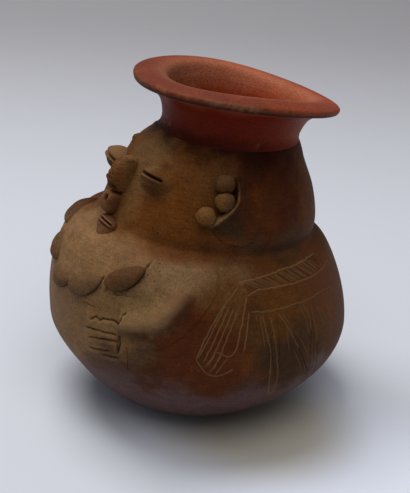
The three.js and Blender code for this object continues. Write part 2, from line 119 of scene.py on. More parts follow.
# Carries a point of the plain turned form to its place on the uneven vessel
def place(radius, angle, height):
    neckHeight, (lipRadius, lipHeight) = vessel["neck"][1], vessel["lip"]
    aboveNeck = clamped((height - neckHeight) / (lipHeight - neckHeight))
    facing = (1 + cos(angle - vessel["lipFlatAngle"])) / 2
    reach = radius * (1 - vessel["lipFlat"] / lipRadius * aboveNeck * facing**4)
    tilt = tipAt(height)
    forward = reach * cos(angle)
    return Vector((
        reach * sin(angle),
        leanAt(height) - forward * cos(tilt),
        height + forward * sin(tilt) - vessel["lipDroop"] * aboveNeck * cos(2 * angle),
    ))


def swell(narrow, wide, fullness, share):
    turn = share * pi / 2
    across = sin(turn) ** (2 / fullness)
    along = 1 - max(cos(turn), 0) ** (2 / fullness)
    return (narrow[0] + (wide[0] - narrow[0]) * across, narrow[1] + (wide[1] - narrow[1]) * along)


def swellRadius(narrow, wide, fullness, height):
    share = clamped((wide[1] - height) / (wide[1] - narrow[1]))
    return narrow[0] + (wide[0] - narrow[0]) * (1 - share**fullness) ** (1 / fullness)


@lru_cache(maxsize=None)
def wallRadius(height):
    waist, cheek, belly = vessel["waist"], vessel["cheek"], vessel["belly"]
    if height < belly[1]:
        return swellRadius(vessel["foot"], belly, vessel["lowerFullness"], height)
    if height < waist[1]:
        return swellRadius(waist, belly, vessel["shoulderFullness"], height)
    if height > cheek[1]:
        return swellRadius(vessel["neck"], cheek, vessel["headFullness"], height)
    below = (cheek[1] - height) / (cheek[1] - waist[1])
    return cheek[0] + (waist[0] - cheek[0]) * below**2


def wallPoint(angle, height):
    return place(wallRadius(height), angle, height)


def wallNormal(angle, height):
    nudge = 0.01
    around = wallPoint(angle + nudge, height) - wallPoint(angle - nudge, height)
    upward = wallPoint(angle, height + nudge) - wallPoint(angle, height - nudge)
    return around.cross(upward).normalized()


# Hand-built walls are never even; only inwards, so that the vessel keeps its size
def unevenness(point):
    wide = noise.noise(point * 0.022 + Vector((3, 7, 1)))
    fine = noise.noise(point * 0.075)
    return 0.5 * wide + 0.14 * fine - 0.4


def abovePoint(angle, height, rise):
    point = wallPoint(angle, height)
    return point + wallNormal(angle, height) * (rise + unevenness(point))


def stepOver(spot, along, up):
    normal = wallNormal(*spot)
    return (spot[0] + along / wallRadius(spot[1]), spot[1] + up * hypot(normal.x, normal.y))


def between(a, b, t):
    return (a[0] + t * (b[0] - a[0]), a[1] + t * (b[1] - a[1]))


def evenly(points, spacing):
    lengths = [0]
    for a, b in zip(points, points[1:]):
        lengths.append(lengths[-1] + hypot(b[0] - a[0], b[1] - a[1]))
    count = max(round(lengths[-1] / spacing), 1)
    spaced, k = [], 0
    for i in range(count + 1):
        wanted = lengths[-1] * i / count
        while k < len(points) - 2 and lengths[k + 1] < wanted:
            k += 1
        t = (wanted - lengths[k]) / max(lengths[k + 1] - lengths[k], 1e-9)
        spaced.append(between(points[k], points[k + 1], t))
    return spaced


# A smooth line through a few points of any size, as 24 steps between each two
def smoothLine(points, steps=24):
    line = []
    for k in range(len(points) - 1):
        a, b = points[max(k - 1, 0)], points[k]
        c, d = points[k + 1], points[min(k + 2, len(points) - 1)]
        for i in range(steps):
            t = i / steps
            line.append(tuple(0.5 * (2 * q + (r - p) * t + (2 * p - 5 * q + 4 * r - s) * t**2
                                     + (3 * q - p - 3 * r + s) * t**3) for p, q, r, s in zip(a, b, c, d)))
    return line + [tuple(points[-1])]


def treeOf(points):
    tree = KDTree(len(points))
    for i, (x, y) in enumerate(points):
        tree.insert((x, y, 0), i)
    tree.balance()
    return tree


def wobble(x, y, z, scale=1):
    return noise.noise(Vector((x, y, z)) * scale)


def inDegrees(angle):
    return angle * 180 / pi


def bump(distance, width):
    return exp(-((distance / width) ** 2))


def smoothStep(value, low, high):
    t = clamped((value - low) / (high - low))
    return t * t * (3 - 2 * t)


# Incised lines on a chart of the wall: degrees from the front, and height
chartRadius = 80 * pi / 180  # millimetres of wall to a degree, on the chart
# width, depth and raised edge of a line, how far the hand strayed, and the degrees by which the
# figure's right side lies further back
scratch = {"depth": 0.5, "width": 0.26, "burr": 0.14, "waver": 0.5, "farTurn": 0}
cut = {"depth": 1.6, "width": 0.68, "burr": 0.5, "waver": 1.8, "farTurn": 12}
ornament = {
    "collarTop": [(79.5, 94), (90, 95.5), (100, 97), (112, 97.5), (126, 98.5)],
    "collarFoot": [(83, 88), (87, 90), (95, 90.5), (109, 90.5), (124, 90.5), (139, 91.5)],
    "hatchFrom": (82, 122),  # first and last degrees
    "hatchStep": 1.45,
    "hatchSlant": 7.5,
    "hatchDarkening": 0.32,
    "wingOuter": [(79.5, 92), (76.5, 88), (74, 84), (70, 76), (66, 66), (63.5, 57.5)],
    "wingFoot": [(63.5, 57.5), (65, 54), (67, 50), (70, 48.5), (73, 49.5), (76.5, 52)],
    "wingInner": [(83, 88), (81, 78), (79.5, 71), (78.5, 65), (77, 61), (75, 59), (73, 60.5), (70.5, 62)],
    "wingEdge": [(83.5, 81), (82, 70), (80.5, 61)],
    "stripTop": ((74.6, 85), (79, 81.5)),
    "stripFoot": ((64.3, 58.5), (69.5, 52.5)),
    "strips": 4,
    "stripStrength": 0.75,
    "footStrength": 0.6,
    "footLines": [((70.5, 62), (66.5, 53.5)), ((72.5, 60), (68, 50.5)), ((74.5, 58.5), (70, 49.5))],
    "belt": [(84.5, 80.8), (92, 80.2), (101, 80.7), (112, 80.6), (120, 81), (130, 79.5)],
    "strengths": {"collarTop": 0.8, "collarFoot": 1, "wingOuter": 0.9, "wingFoot": 0.8, "wingInner": 1,
                  "wingEdge": 0.9, "belt": 1},
    # each as strength and points; a strength below zero is a line that is drawn dark instead of holding
    # dust
    "fringe": [
        (0.5, [(86.1, 80), (86.5, 75.5)]),
        (0.55, [(88.9, 79.7), (89.7, 69), (90.8, 59), (90.4, 42.5), (91.6, 29.7)]),
        (-0.5, [(90.5, 79), (91.2, 67.5), (91.4, 54.5), (92.6, 41.5)]),
        (0.45, [(92, 77), (93, 63), (93.4, 49), (94, 29)]),
        (-0.6, [(94.2, 77), (94.6, 68), (94.3, 53.5)]),
        (0.6, [(95.6, 78), (99.6, 68.5), (103, 57)]),
        (-0.7, [(103, 57), (106.5, 45.5), (110.5, 34), (113, 24)]),
        (0.3, [(98.6, 76), (98.4, 65.5), (98.8, 56)]),
        (0.3, [(101, 55.5), (105, 42.5)]),
        (0.6, [(107.8, 79.5), (110.4, 72), (110.6, 64)]),
        (-0.8, [(110.6, 64), (109.2, 51.5), (109.8, 41), (113, 28)]),
        (0.5, [(112.7, 79.7), (112.9, 68.5), (113.5, 56)]),
        (-0.8, [(113.5, 56), (113.4, 44.5), (116.5, 29), (115, 23)]),
        (0.4, [(117.9, 73), (121.5, 64)]),
        (0.5, [(123.4, 72.5), (124.7, 62), (123.4, 48)]),
        (0.4, [(130, 70), (133, 56), (136, 40)]),
        (0.35, [(87.6, 79.6), (88.2, 71), (88.6, 62)]),
        (-0.45, [(89.8, 66), (90, 52), (89.3, 38)]),
        (0.35, [(97.2, 78), (101, 69), (105.5, 58), (108.4, 48)]),
        (-0.5, [(100.2, 72), (104, 60.5), (107.4, 49)]),
        (0.4, [(106, 79.5), (108.4, 71), (109.1, 62)]),
        (-0.55, [(111.8, 69), (111.7, 57), (111, 45), (113.6, 33)]),
        (0.35, [(115.2, 79), (117.2, 70.5), (119.4, 62)]),
        (-0.5, [(103.6, 48), (107.6, 38), (111, 27)]),
        (0.35, [(126.8, 76), (128.6, 64), (128, 52)]),
        (1, [(91, 37), (91.8, 29.2)]),
        (0.9, [(93.9, 35), (93.4, 28.6)]),
    ],
}
handLines = [
    [(40.9, 94.6), (41.6, 97.2)],
    [(24.6, 84.5), (25.2, 87)],
    [(8.6, 79.2), (10.2, 81.6)],
    [(22.7, 67.3), (27, 68.7), (31.6, 69.9), (36, 69.8), (38.8, 75.8)],
    [(20.8, 62), (26.8, 63.3), (31, 63.8), (35, 64.4)],
    [(22.3, 58), (27.2, 59.3), (32.5, 60.8), (35.6, 60.7)],
    [(22.6, 52.4), (27, 53.2), (31.6, 54.7)],
    [(28.8, 51.3), (35.4, 52.2)],
    [(35.8, 66), (35.6, 60.5), (35, 54.5)],
    [(36.3, 65), (36.1, 60), (35.6, 55)],
]


def wavering(points, amount, seed):
    line = evenly(smoothLine([(d * chartRadius, h) for d, h in points]), 0.25)
    return [(x + amount * wobble(x, h, seed, 0.35), h + amount * wobble(h, x, seed + 9, 0.35))
            for x, h in line]


def heightOn(line, degrees):
    for (d0, h0), (d1, h1) in zip(line, line[1:]):
        if d0 <= degrees <= d1:
            return h0 + (h1 - h0) * (degrees - d0) / (d1 - d0)
    return line[-1][1]


# All the lines of the ornament on the figure's left; each as strength and points
def ornamentLines():
    o = ornament
    lines = [(strength, o[name]) for name, strength in o["strengths"].items()]
    first, last = o["hatchFrom"]
    for k in range(int((last - first) / o["hatchStep"])):
        top = first + k * o["hatchStep"] + 0.5 * sin(k * 2.4)
        foot = top + o["hatchSlant"] + 0.8 * sin(k * 1.7)
        ends = [(top, heightOn(o["collarTop"], top) - 0.3), (foot, heightOn(o["collarFoot"], foot) + 0.5)]
        lines.append((0.45 + 0.35 * sin(k * 3.1) ** 2, ends))
    for k in range(o["strips"]):
        t = k / (o["strips"] - 1)
        lines.append((o["stripStrength"], [between(*o["stripTop"], t), between(*o["stripFoot"], t)]))
    return lines + [(o["footStrength"], line) for line in o["footLines"]] + o["fringe"]


# Points of many lines on both sides of the figure in one tree, with each point's strength
def lineTree(lines, style):
    points, strengths = [], []
    for k, (strength, line) in enumerate(lines):
        (startTurn, startHeight), (endTurn, endHeight) = line[0], line[-1]
        length = hypot((endTurn - startTurn) * chartRadius, endHeight - startHeight)
        amount = style["waver"] * min(1, 0.02 * length)
        for side, past in ((1, 0), (-1, style["farTurn"])):
            drawn = wavering([((d + past) * side, h) for d, h in line[::side]], amount, 3.7 * k)
            points += drawn
            last = len(drawn) - 1
            strengths += [strength * min(1, 0.35 + 0.1 * min(i, last - i)) for i in range(last + 1)]
    return treeOf(points), strengths


scratchTree, scratchStrength = lineTree(ornamentLines(), scratch)
cutTree, cutStrength = lineTree([(1, line) for line in handLines], cut)
print("incised lines drawn")


# How far the clay is pushed in or up by a line near this place, and the dust and the dark it holds; the
# deep cuts of the hands are dark with painted shade, and their raised edges, most of all below them, pale
# with painted light
def carved(angle, height):
    chart = (inDegrees(angle) * chartRadius, height, 0)
    rise, dust, soot = 0, 0, 0
    _, i, d = scratchTree.find(chart)
    if d < 2:
        strength = abs(scratchStrength[i])
        groove = strength * bump(d, scratch["width"])
        rise += scratch["burr"] * strength * bump(d - 2 * scratch["width"], 0.8 * scratch["width"])
        rise -= scratch["depth"] * groove
        dust, soot = (groove, 0) if scratchStrength[i] > 0 else (0, groove)
    degrees = inDegrees(abs(angle))
    first, last = ornament["hatchFrom"]
    if first < degrees < last + 4:
        top, foot = heightOn(ornament["collarTop"], degrees), heightOn(ornament["collarFoot"], degrees)
        inBand = smoothStep(height, foot, foot + 1) * smoothStep(-height, -top, 1 - top)
        soot = max(soot, ornament["hatchDarkening"] * inBand * (1 - dust))
    co, i, d = cutTree.find(chart)
    if d < 3:
        rough = 0.75 + 0.5 * wobble(*chart, 0.9)
        groove = cutStrength[i] * bump(d, cut["width"] * rough)
        lower = 1 if chart[1] < co[1] else 0.35
        ridge = cutStrength[i] * lower * rough * bump(d - 2 * cut["width"], 0.9 * cut["width"])
        rise += cut["burr"] * ridge - cut["depth"] * groove
        soot = max(soot, groove)
        dust = max(dust, 0.4 * ridge)
    return rise, dust, soot


# A small knob on the far side of the brow, and the painted shade in the hollow under each eye: degrees and
# height, millimetres to a degree, reach and strength
browKnob = {"spot": (-26, 140), "perDegree": 0.7, "reach": 2.1, "strength": 2.4}
paintedShadeUnderEye = {"spot": (27, 126), "perDegree": 1.0, "reach": 6.0, "strength": 0.62}


def mound(feature, angle, height):
    degrees, middle = feature["spot"]
    away = hypot((inDegrees(angle) - degrees) * feature["perDegree"], height - middle)
    return feature["strength"] * bump(away, feature["reach"])


# Outlines of what is pressed on the wall, so that the wall rises a little to meet it
joints = []
jointClay = {"rise": 0.4, "reach": 1.3, "dust": 0.12, "soot": 0.8, "range": 9}


def addJoint(spot, along, up, turn=0):
    joints.append((spot, along, up, cos(turn), sin(turn)))


def smoothedIn(angle, height):
    rise, dust, soot = 0, 0, 0
    for (spotAngle, spotHeight), along, up, c, s in joints:
        v = height - spotHeight
        u = (angle - spotAngle) * wallRadius(spotHeight)
        if max(abs(u), abs(v)) > along + jointClay["range"]:
            continue
        x, y = u * c + v * s, v * c - u * s
        share = hypot(x / along, y / up)
        away = hypot(x, y) * (1 - 1 / max(share, 1e-6))
        rise = max(rise, jointClay["rise"] * (bump(away, jointClay["reach"]) if away > 0 else 1))
        if away > 0:
            dust = max(dust, jointClay["dust"] * bump(away - 0.8, 1.2) * (0.4 + 0.6 * (y > 0)))
            # painted shade round what is pressed on, strongest below it
            soot = max(soot, jointClay["soot"] * bump(away, 0.7) * (0.25 + 0.75 * smoothStep(-y, -0.5, 2)))
    return rise, dust, soot


# Clay smoothed into the crease under the head and round the foot of the neck: its reach in front and
# behind, and the ways, outwards and up, that the walls below and above leave the crease
creaseFront = radians(20)  # where the creases are deepest
creases = {
    "waist": {"front": 3.6, "back": 2.6, "lower": (0.97, -0.24), "upper": (0, 1)},
    "neck": {"front": 6.0, "back": 6.0, "lower": (0.87, -0.49), "upper": (0, 1)},
}


# Carries a point of one leg of a corner to a soft curve that joins both legs
def intoCrease(distance, reach, ownLeg, otherLeg):
    if distance >= reach:
        return Vector((0, 0, 0))
    t = (1 - distance / reach) / 2
    return ownLeg * ((1 - t) ** 2 * reach - distance) + otherLeg * (t**2 * reach)


def creaseShift(angle, height, radius):
    shift = Vector((0, 0, 0))
    front = (1 + cos(angle - creaseFront)) / 2
    for name, crease in creases.items():
        ringRadius, ringHeight = vessel[name]
        reach = crease["back"] + (crease["front"] - crease["back"]) * front**1.5
        lower, upper = (Vector((sin(angle) * leg[0], -cos(angle) * leg[0], leg[1]))
                        for leg in (crease["lower"], crease["upper"]))
        away = hypot(radius - ringRadius, height - ringHeight)
        if height > ringHeight:
            shift += intoCrease(away, reach, upper, lower)
        else:
            shift += intoCrease(away, reach, lower, upper)
    return shift


def inScene(name, data):
    thing = bpy.data.objects.new(name, data)
    bpy.context.scene.collection.objects.link(thing)
    return thing


def meshObject(name, bm, coat):
    mesh = bpy.data.meshes.new(name)
    bm.to_mesh(mesh)
    bm.free()
    mesh.materials.append(coat)
    return inScene(name, mesh)


def newPiece(name, bm, node, coat):
    bmesh.ops.recalc_face_normals(bm, faces=bm.faces)
    bmesh.ops.scale(bm, vec=(mm, mm, mm), verts=bm.verts)
    for face in bm.faces:
        face.smooth = True
    piece = meshObject(name, bm, coat)
    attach(piece, "root")
    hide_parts(node)


# Each piece carries dust, which also holds painted highlights, and soot, which also holds painted shade
def dirtAndLightLayers(bm):
    return bm.verts.layers.float["dust"], bm.verts.layers.float["soot"]


def newClay():
    bm = bmesh.new()
    for name in ("dust", "soot", "inner"):
        bm.verts.layers.float.new(name)
    return bm


# Spins a closed outline into a wall: its points up to skinTo are the outer skin
def spunWall(outline, skinTo, corners=(), onAxis=False):
    bm = newClay()
    skin = bm.verts.layers.float.new("skin")
    corner = bm.verts.layers.float.new("corner")
    ring = [bm.verts.new((0, -radius, height)) for radius, height in outline]
    for k, vert in enumerate(ring):
        vert[skin] = 1.0 if k <= skinTo else 0.0
        vert[corner] = 1.0 if k in corners else 0.0
    edges = [bm.edges.new(pair) for pair in zip(ring, ring[1:])]
    if not onAxis:
        edges.append(bm.edges.new((ring[-1], ring[0])))
    bmesh.ops.spin(bm, geom=ring + edges, cent=(0, 0, 0), axis=(0, 0, 1), dvec=(0, 0, 0),
                   angle=2 * pi, steps=grid["turns"], use_merge=True)
    bmesh.ops.remove_doubles(bm, verts=bm.verts, dist=0.001)
    return bm


def chartOf(co):
    return atan2(co.x, -co.y), co.z


# Halves the edges of the skin that lie within reach of an incised line
def refine(bm, reach):
    skin = bm.verts.layers.float["skin"]
    chosen = []
    for edge in bm.edges:
        a, b = edge.verts
        if a[skin] < 0.99 or b[skin] < 0.99:
            continue
        angle, height = chartOf((a.co + b.co) / 2)
        spot = (inDegrees(angle) * chartRadius, height, 0)
        if min(scratchTree.find(spot)[2], cutTree.find(spot)[2]) < reach:
            chosen.append(edge)
    bmesh.ops.subdivide_edges(bm, edges=chosen, cuts=1, use_grid_fill=True)


# A darker band just over the crease under the head: millimetres over the crease, reach, and the
# angles between which it fades in
cheekDarkBand = {"over": 4.5, "reach": 3.2, "sides": (radians(22), radians(40))}


def cheekDarkening(angle, height):
    away = height - vessel["waist"][1] - cheekDarkBand["over"]
    patchy = max(0, 0.3 + 0.35 * wobble(angle * 6, height * 0.12, 2))
    return patchy * bump(away, cheekDarkBand["reach"]) * smoothStep(abs(angle), *cheekDarkBand["sides"])


skinBlend = 6  # millimetres over which unevenness fades in above the foot, and turns outwards at the neck


def shapeWall(bm, carving):
    skin = bm.verts.layers.float["skin"]
    corner = bm.verts.layers.float["corner"]
    dustAndHighlightLayer, sootAndShadeLayer = dirtAndLightLayers(bm)
    neckHeight = vessel["neck"][1]
    for vert in bm.verts:
        radius = hypot(vert.co.x, vert.co.y)
        angle, height = chartOf(vert.co)
        shift = Vector((0, 0, 0))
        if vert[skin] > 0.99:
            shift = creaseShift(angle, height, radius)
            spot = wallPoint(angle, height) if height < neckHeight else place(radius, angle, height)
            rise = unevenness(spot)
            if carving:
                lineRise, lineDust, lineSootAndShade = carved(angle, height)
                meetRise, meetDust, meetShade = smoothedIn(angle, height)
                rise += lineRise + meetRise + mound(browKnob, angle, height)
                # dust, and the dark of the lines, painted shade round what is pressed on and under the
                # eyes, and the darker band over the crease
                vert[dustAndHighlightLayer] = max(lineDust, meetDust)
                vert[sootAndShadeLayer] = max(lineSootAndShade, meetShade, mound(paintedShadeUnderEye, abs(angle), height),
                                      cheekDarkening(angle, height))
            facing = Vector((sin(angle), -cos(angle), 0))
            if height > 0.5:
                share = clamped((height - neckHeight) / skinBlend)
                facing = wallNormal(angle, min(height, neckHeight - 0.02)).lerp(facing, share)
            shift += facing * rise * min(1, height / skinBlend)
        vert.co = place(radius, angle, height) + shift
    # the skin is sharp where it turns into the hidden lap, and shades as one with its neighbour's
    for edge in bm.edges:
        if min(vert[skin] for vert in edge.verts) > 0.99 and len(edge.link_faces) == 2:
            sides = [min(vert[skin] for vert in face.verts) > 0.99 for face in edge.link_faces]
            edge.smooth = sides[0] == sides[1]
        if min(vert[corner] for vert in edge.verts) > 0.99:
            edge.smooth = False


# Adds points to the stretches of an outline that end within reach of a place on it
def densify(points, near, reach, parts=3):
    dense = [points[0]]
    for a, b in zip(points, points[1:]):
        away = max(hypot(p[0] - near[0], p[1] - near[1]) for p in (a, b))
        steps = parts if away < reach else 1
        dense += [between(a, b, (i + 1) / steps) for i in range(steps)]
    return dense


def curveOf(narrow, wide, fullness, spacing, inset=0.0):
    count = 200
    points = [swell(narrow, wide, fullness, i / count) for i in range(count + 1)]
    if inset:
        side = 1 if wide[1] > narrow[1] else -1
        moved = []
        for k, (radius, height) in enumerate(points):
            a, b = points[max(k - 1, 0)], points[min(k + 1, count)]
            run = hypot(b[0] - a[0], b[1] - a[1])
            moved.append((radius - side * inset * (b[1] - a[1]) / run,
                          height + side * inset * (b[0] - a[0]) / run))
        points = moved
    return evenly(points, spacing)


# The outer skin of a swelling wall, and its inside between two heights
def shell(narrow, wide, fullness, wall, low, high):
    inside = curveOf(narrow, wide, fullness, grid["innerSpacing"], wall)
    return curveOf(narrow, wide, fullness, grid["spacing"]), [p for p in inside if low < p[1] < high]


def finishWall(bm, name, node, coat, fine=(), carving=True):
    for reach in fine:
        refine(bm, reach)
    shapeWall(bm, carving)
    newPiece(name, bm, node, coat)


def bellyBowl(coat):
    foot, belly, wall = vessel["foot"], vessel["belly"], vessel["bodyWall"]
    lap = (belly[0] - wall, belly[1] - vessel["lapDrop"])
    disc = evenly([(0, 0), foot], 3)
    outer, inner = shell(foot, belly, vessel["lowerFullness"], wall, 0, lap[1] - 2)
    outline = disc[:-1] + outer + [lap] + inner[::-1] + [(0, wall)]
    bm = spunWall(outline, len(disc) + len(outer) - 2, onAxis=True)
    finishWall(bm, "bellyBowl", "belly_bowl", coat, grid["fine"])


def shoulderWall(coat):
    belly, waist, wall = vessel["belly"], vessel["waist"], vessel["bodyWall"]
    lap = (belly[0] - wall, belly[1] - vessel["lapDrop"])
    ledge = (waist[0] - vessel["headWall"], waist[1] - wall)
    outer, inner = shell(waist, belly, vessel["shoulderFullness"], wall, belly[1] + 2, ledge[1] - 1)
    outer = densify(outer[::-1], waist, 7)
    outline = outer + [ledge] + inner + [lap]
    bm = spunWall(outline, len(outer) - 1)
    finishWall(bm, "shoulderWall", "shoulder_wall", coat, grid["fine"])


def headDome(coat):
    waist, cheek, neck, wall = vessel["waist"], vessel["cheek"], vessel["neck"], vessel["headWall"]
    lap = (waist[0] - wall, waist[1] - vessel["bodyWall"])
    ledge = (neck[0] - vessel["neckWall"], neck[1] - wall)
    jowl = [(wallRadius(waist[1] + h), waist[1] + h) for h in (0.0001, 1, 2, 3)]
    outer, inner = shell(neck, cheek, vessel["headFullness"], wall, 0, ledge[1] - 2)
    outer = densify(densify(jowl + outer[::-1], waist, 6), neck, 7)
    outline = outer + [ledge] + inner + [lap]
    bm = spunWall(outline, len(outer) - 1)
    finishWall(bm, "headDome", "head_dome", coat)


# The neck flares by so many millimetres at these shares of its height
neckFlare = [(0.8, 0.3), (2.6, 0.6), (5.2, 0.82)]


def neckCollar(coat):
    neck, flange, throat = vessel["neck"], vessel["flange"], vessel["throat"]
    length = flange[1] - neck[1]
    flare = [(neck[0] + out, neck[1] + share * length) for out, share in neckFlare]
    outer = densify(evenly(smoothLine([neck, *flare, flange]), 0.9), neck, 7, 2)
    inner = evenly(smoothLine([(throat + 1, flange[1] - 1), (throat - 0.6, flange[1] - 6),
                               (throat - 2, neck[1] + 5),
                               (neck[0] - vessel["neckWall"], neck[1] - vessel["headWall"])]), 1.2)
    last = len(outer) + len(inner) - 1
    bm = spunWall(outer + inner, last, (0, len(outer) - 1, len(outer), last))
    innerLayer = bm.verts.layers.float["inner"]
    for vert in bm.verts:
        vert[innerLayer] = float(hypot(vert.co.x, vert.co.y) < throat + 1.5)
    finishWall(bm, "neckCollar", "neck_collar", coat, carving=False)


# The top of the rim: millimetres in from the lip, share of the crest's rise
rimCrest = [(1.2, 0.35), (6, 0.8), (11.5, 1), (17.5, 0.45)]


def rimFlange(coat):
    flange, lip, throat = vessel["flange"], vessel["lip"], vessel["throat"]
    thick, crest = vessel["lipThickness"], vessel["crestRise"]
    turn = (lip[0] - 1.0, lip[1] - 0.7 * thick)
    under = smoothLine([flange, (flange[0] + 3, flange[1] + 1.0),
                        (lip[0] - 4.6, lip[1] + 0.2 - thick), turn])
    under += smoothLine([turn, (lip[0] - 0.3, lip[1] - 0.35 * thick), lip])[1:]
    crestLine = [(lip[0] - inward, lip[1] + share * crest) for inward, share in rimCrest]
    top = smoothLine([lip, *crestLine, (throat + 1.8, flange[1] + 1), (throat + 1, flange[1] - 1)])
    outline = evenly(under + top[1:], 0.7)
    last = len(outline) - 1
    bm = spunWall(outline, last, (0, last))
    dustAndHighlightLayer, sootAndShadeLayer = dirtAndLightLayers(bm)
    innerLayer = bm.verts.layers.float["inner"]
    for vert in bm.verts:
        # the funnel inside, a dark band under the lip that is painted shadow of the lip as well as soot,
        # and the edge that hands have worn
        radius = hypot(vert.co.x, vert.co.y)
        if radius < flange[0] - 0.2 or vert.co.z > lip[1]:
            vert[innerLayer] = 1 - smoothStep(radius, flange[0] - 6, flange[0] + 3)
        away = radius - (lip[0] - 0.7)
        low = vert.co.z - (lip[1] - 0.58 * thick)
        ragged = wobble(*vert.co, 0.09) + 0.6 * wobble(*vert.co, 0.5)
        vert[sootAndShadeLayer] = clamped(max(0.3, 1.2 + 1.1 * ragged)) * bump(hypot(away, 0.8 * low), 1.2)
        worn = clamped(0.2 - 0.8 * ragged)
        vert[dustAndHighlightLayer] = worn * bump(hypot(away - 0.4, vert.co.z - lip[1] + 0.6), 1.4)
    finishWall(bm, "rimFlange", "rim_flange", coat, carving=False)


# A lump pressed on the wall: form turns a point of a unit ball into steps along, up and out
def pressedLump(name, node, coat, spot, form, detail=5, seat=None):
    bm = newClay()
    dustAndHighlightLayer, sootAndShadeLayer = dirtAndLightLayers(bm)
    bmesh.ops.create_icosphere(bm, subdivisions=detail, radius=1)
    for vert in bm.verts:
        along, up, out, dust, soot = form(*vert.co)
        vert[dustAndHighlightLayer], vert[sootAndShadeLayer] = dust, soot
        if seat is None:
            vert.co = abovePoint(*stepOver(spot, along, up), out)
        else:
            vert.co = seat @ Vector((along, up, out))
    newPiece(name, bm, node, coat)


# How much a round form grows towards its corners, to look squarer
def squared(x, y, amount):
    square = max(abs(x), abs(y)) / max(hypot(x, y), 1e-6)
    return 1 + amount * (1 / max(square, 0.7) - 1)


def onHead(share):
    return vessel["waist"][1] + share * (vessel["neck"][1] - vessel["waist"][1])


def onBody(share):
    return share * vessel["waist"][1]


eyes = {
    "left": {"node": "left_eye", "degrees": 24, "share": 0.625, "rise": 4.8, "slit": -2.4,
             "slitUp": 1.0, "edge": 2.7, "lean": 0.3, "spread": 1.18},
    "right": {"node": "right_eye", "degrees": -24, "share": 0.58, "rise": 8.8, "slit": 1.6,
              "slitUp": 0.0, "edge": 1.25, "lean": 0, "spread": 1.05},
    "halfWidth": 9.5,
    "halfHeight": 6.3,
    "slitHalf": 9.0,
    "slitTilt": 0.09,
    "slitDepth": 2.4,
    "slitWidth": 0.62,
}


def eye(side, coat):
    e = eyes[side]
    spot = (radians(e["degrees"]), onHead(e["share"]))

    def form(x, y, z):
        along, up = e["spread"] * eyes["halfWidth"] * x, e["spread"] * eyes["halfHeight"] * y
        dome = max(z, 0) ** (e["edge"] + e["lean"] * y)
        fromSlit = abs(along - e["slit"])
        inSlit = 1 - smoothStep(fromSlit, 0.8 * eyes["slitHalf"], eyes["slitHalf"])
        v = up - e["slitUp"] + eyes["slitTilt"] * (along - e["slit"])
        groove = inSlit * bump(v, eyes["slitWidth"])
        upper = inSlit * bump(v - 1.6, 1.0) if v > 0 else 0
        lower = inSlit * bump(v + 1.3, 0.55)
        sunk = inSlit * bump(v + 3.2, 1.3)
        out = e["rise"] * dome + 0.5 * upper + 0.5 * lower - 0.5 * sunk - eyes["slitDepth"] * groove
        if z > 0.03:
            out = max(out, 0.12)
        if z < 0:
            out = -1.5 * abs(z)
        # the left eye's lower lid is painted light, its slit and the hollow below it painted shade; the
        # right eye's upper half and a line under its slit are painted light, its lower half painted shade
        if side == "right":
            lit = max(0.9 * inSlit * bump(v + 0.4, 0.5), 0.5 * smoothStep(v, 0.5, 3))
            return along, up, out, lit, 0.6 * smoothStep(-v, 0.8, 2)
        shade = mound(paintedShadeUnderEye, *stepOver(spot, along, up))
        return along, up, out, 0.4 * lower, min(1, 1.5 * groove + max(0.35 * sunk, shade))

    pressedLump(side + "Eye", e["node"], coat, spot, form, 6)


noseSizes = {
    "degrees": 1, "share": 0.545, "halfWidth": 5.0, "halfHeight": 10.4, "cadHalfHeight": 9.8, "rise": 10.4,
    "taper": 0.1, "nostrilSpot": (2.6, -7.8), "nostril": 1.3, "nostrilDepth": 2.4,
}


def noseWedge(coat):
    n = noseSizes
    spot = (radians(n["degrees"]), onHead(n["share"]))

    def form(x, y, z):
        grow = squared(x, y, 0.4)
        along = n["halfWidth"] * x * grow * (1 - n["taper"] * y)
        up = n["halfHeight"] * y * grow
        out = n["rise"] * max(z, 0) ** 0.55 * (1 - 0.1 * y - 0.12 * y * y)
        folds = wobble(along * 0.35, up * 0.8, out * 0.5)
        out += (0.7 * folds + 0.4 * wobble(along, up, out, 0.9)) * clamped(out)
        aside, level = n["nostrilSpot"]
        pit = bump(hypot(abs(along) - aside, up - level), n["nostril"])
        out -= n["nostrilDepth"] * pit
        if z < 0:
            out = -2 * abs(z)
        # painted light on the top edge and the crests of the folds, painted shade in the nostrils, the
        # folds' hollows and on the lower half
        ridge = 0.3 * smoothStep(y, 0.55, 0.95)
        soot = min(1, 0.9 * pit + 0.3 * max(-folds, 0) + 0.2 * max(-y, 0))
        return along, up, out, max(0.1 * folds, ridge), soot

    pressedLump("noseWedge", "nose", coat, spot, form, 6)


plugSizes = {
    "degrees": 0, "halfWidth": 6.0, "halfHeight": 6.1, "cadHalfHeight": 5.8, "rise": 7.2,
    "holeSpot": (1.3, 1.4), "hole": 1.25, "holeDepth": 3.4,
}


def plugSpot():
    noseEnd = stepOver((0, onHead(noseSizes["share"])), 0, -noseSizes["cadHalfHeight"])[1]
    return stepOver((radians(plugSizes["degrees"]), noseEnd), 0, -plugSizes["cadHalfHeight"] - 0.9)


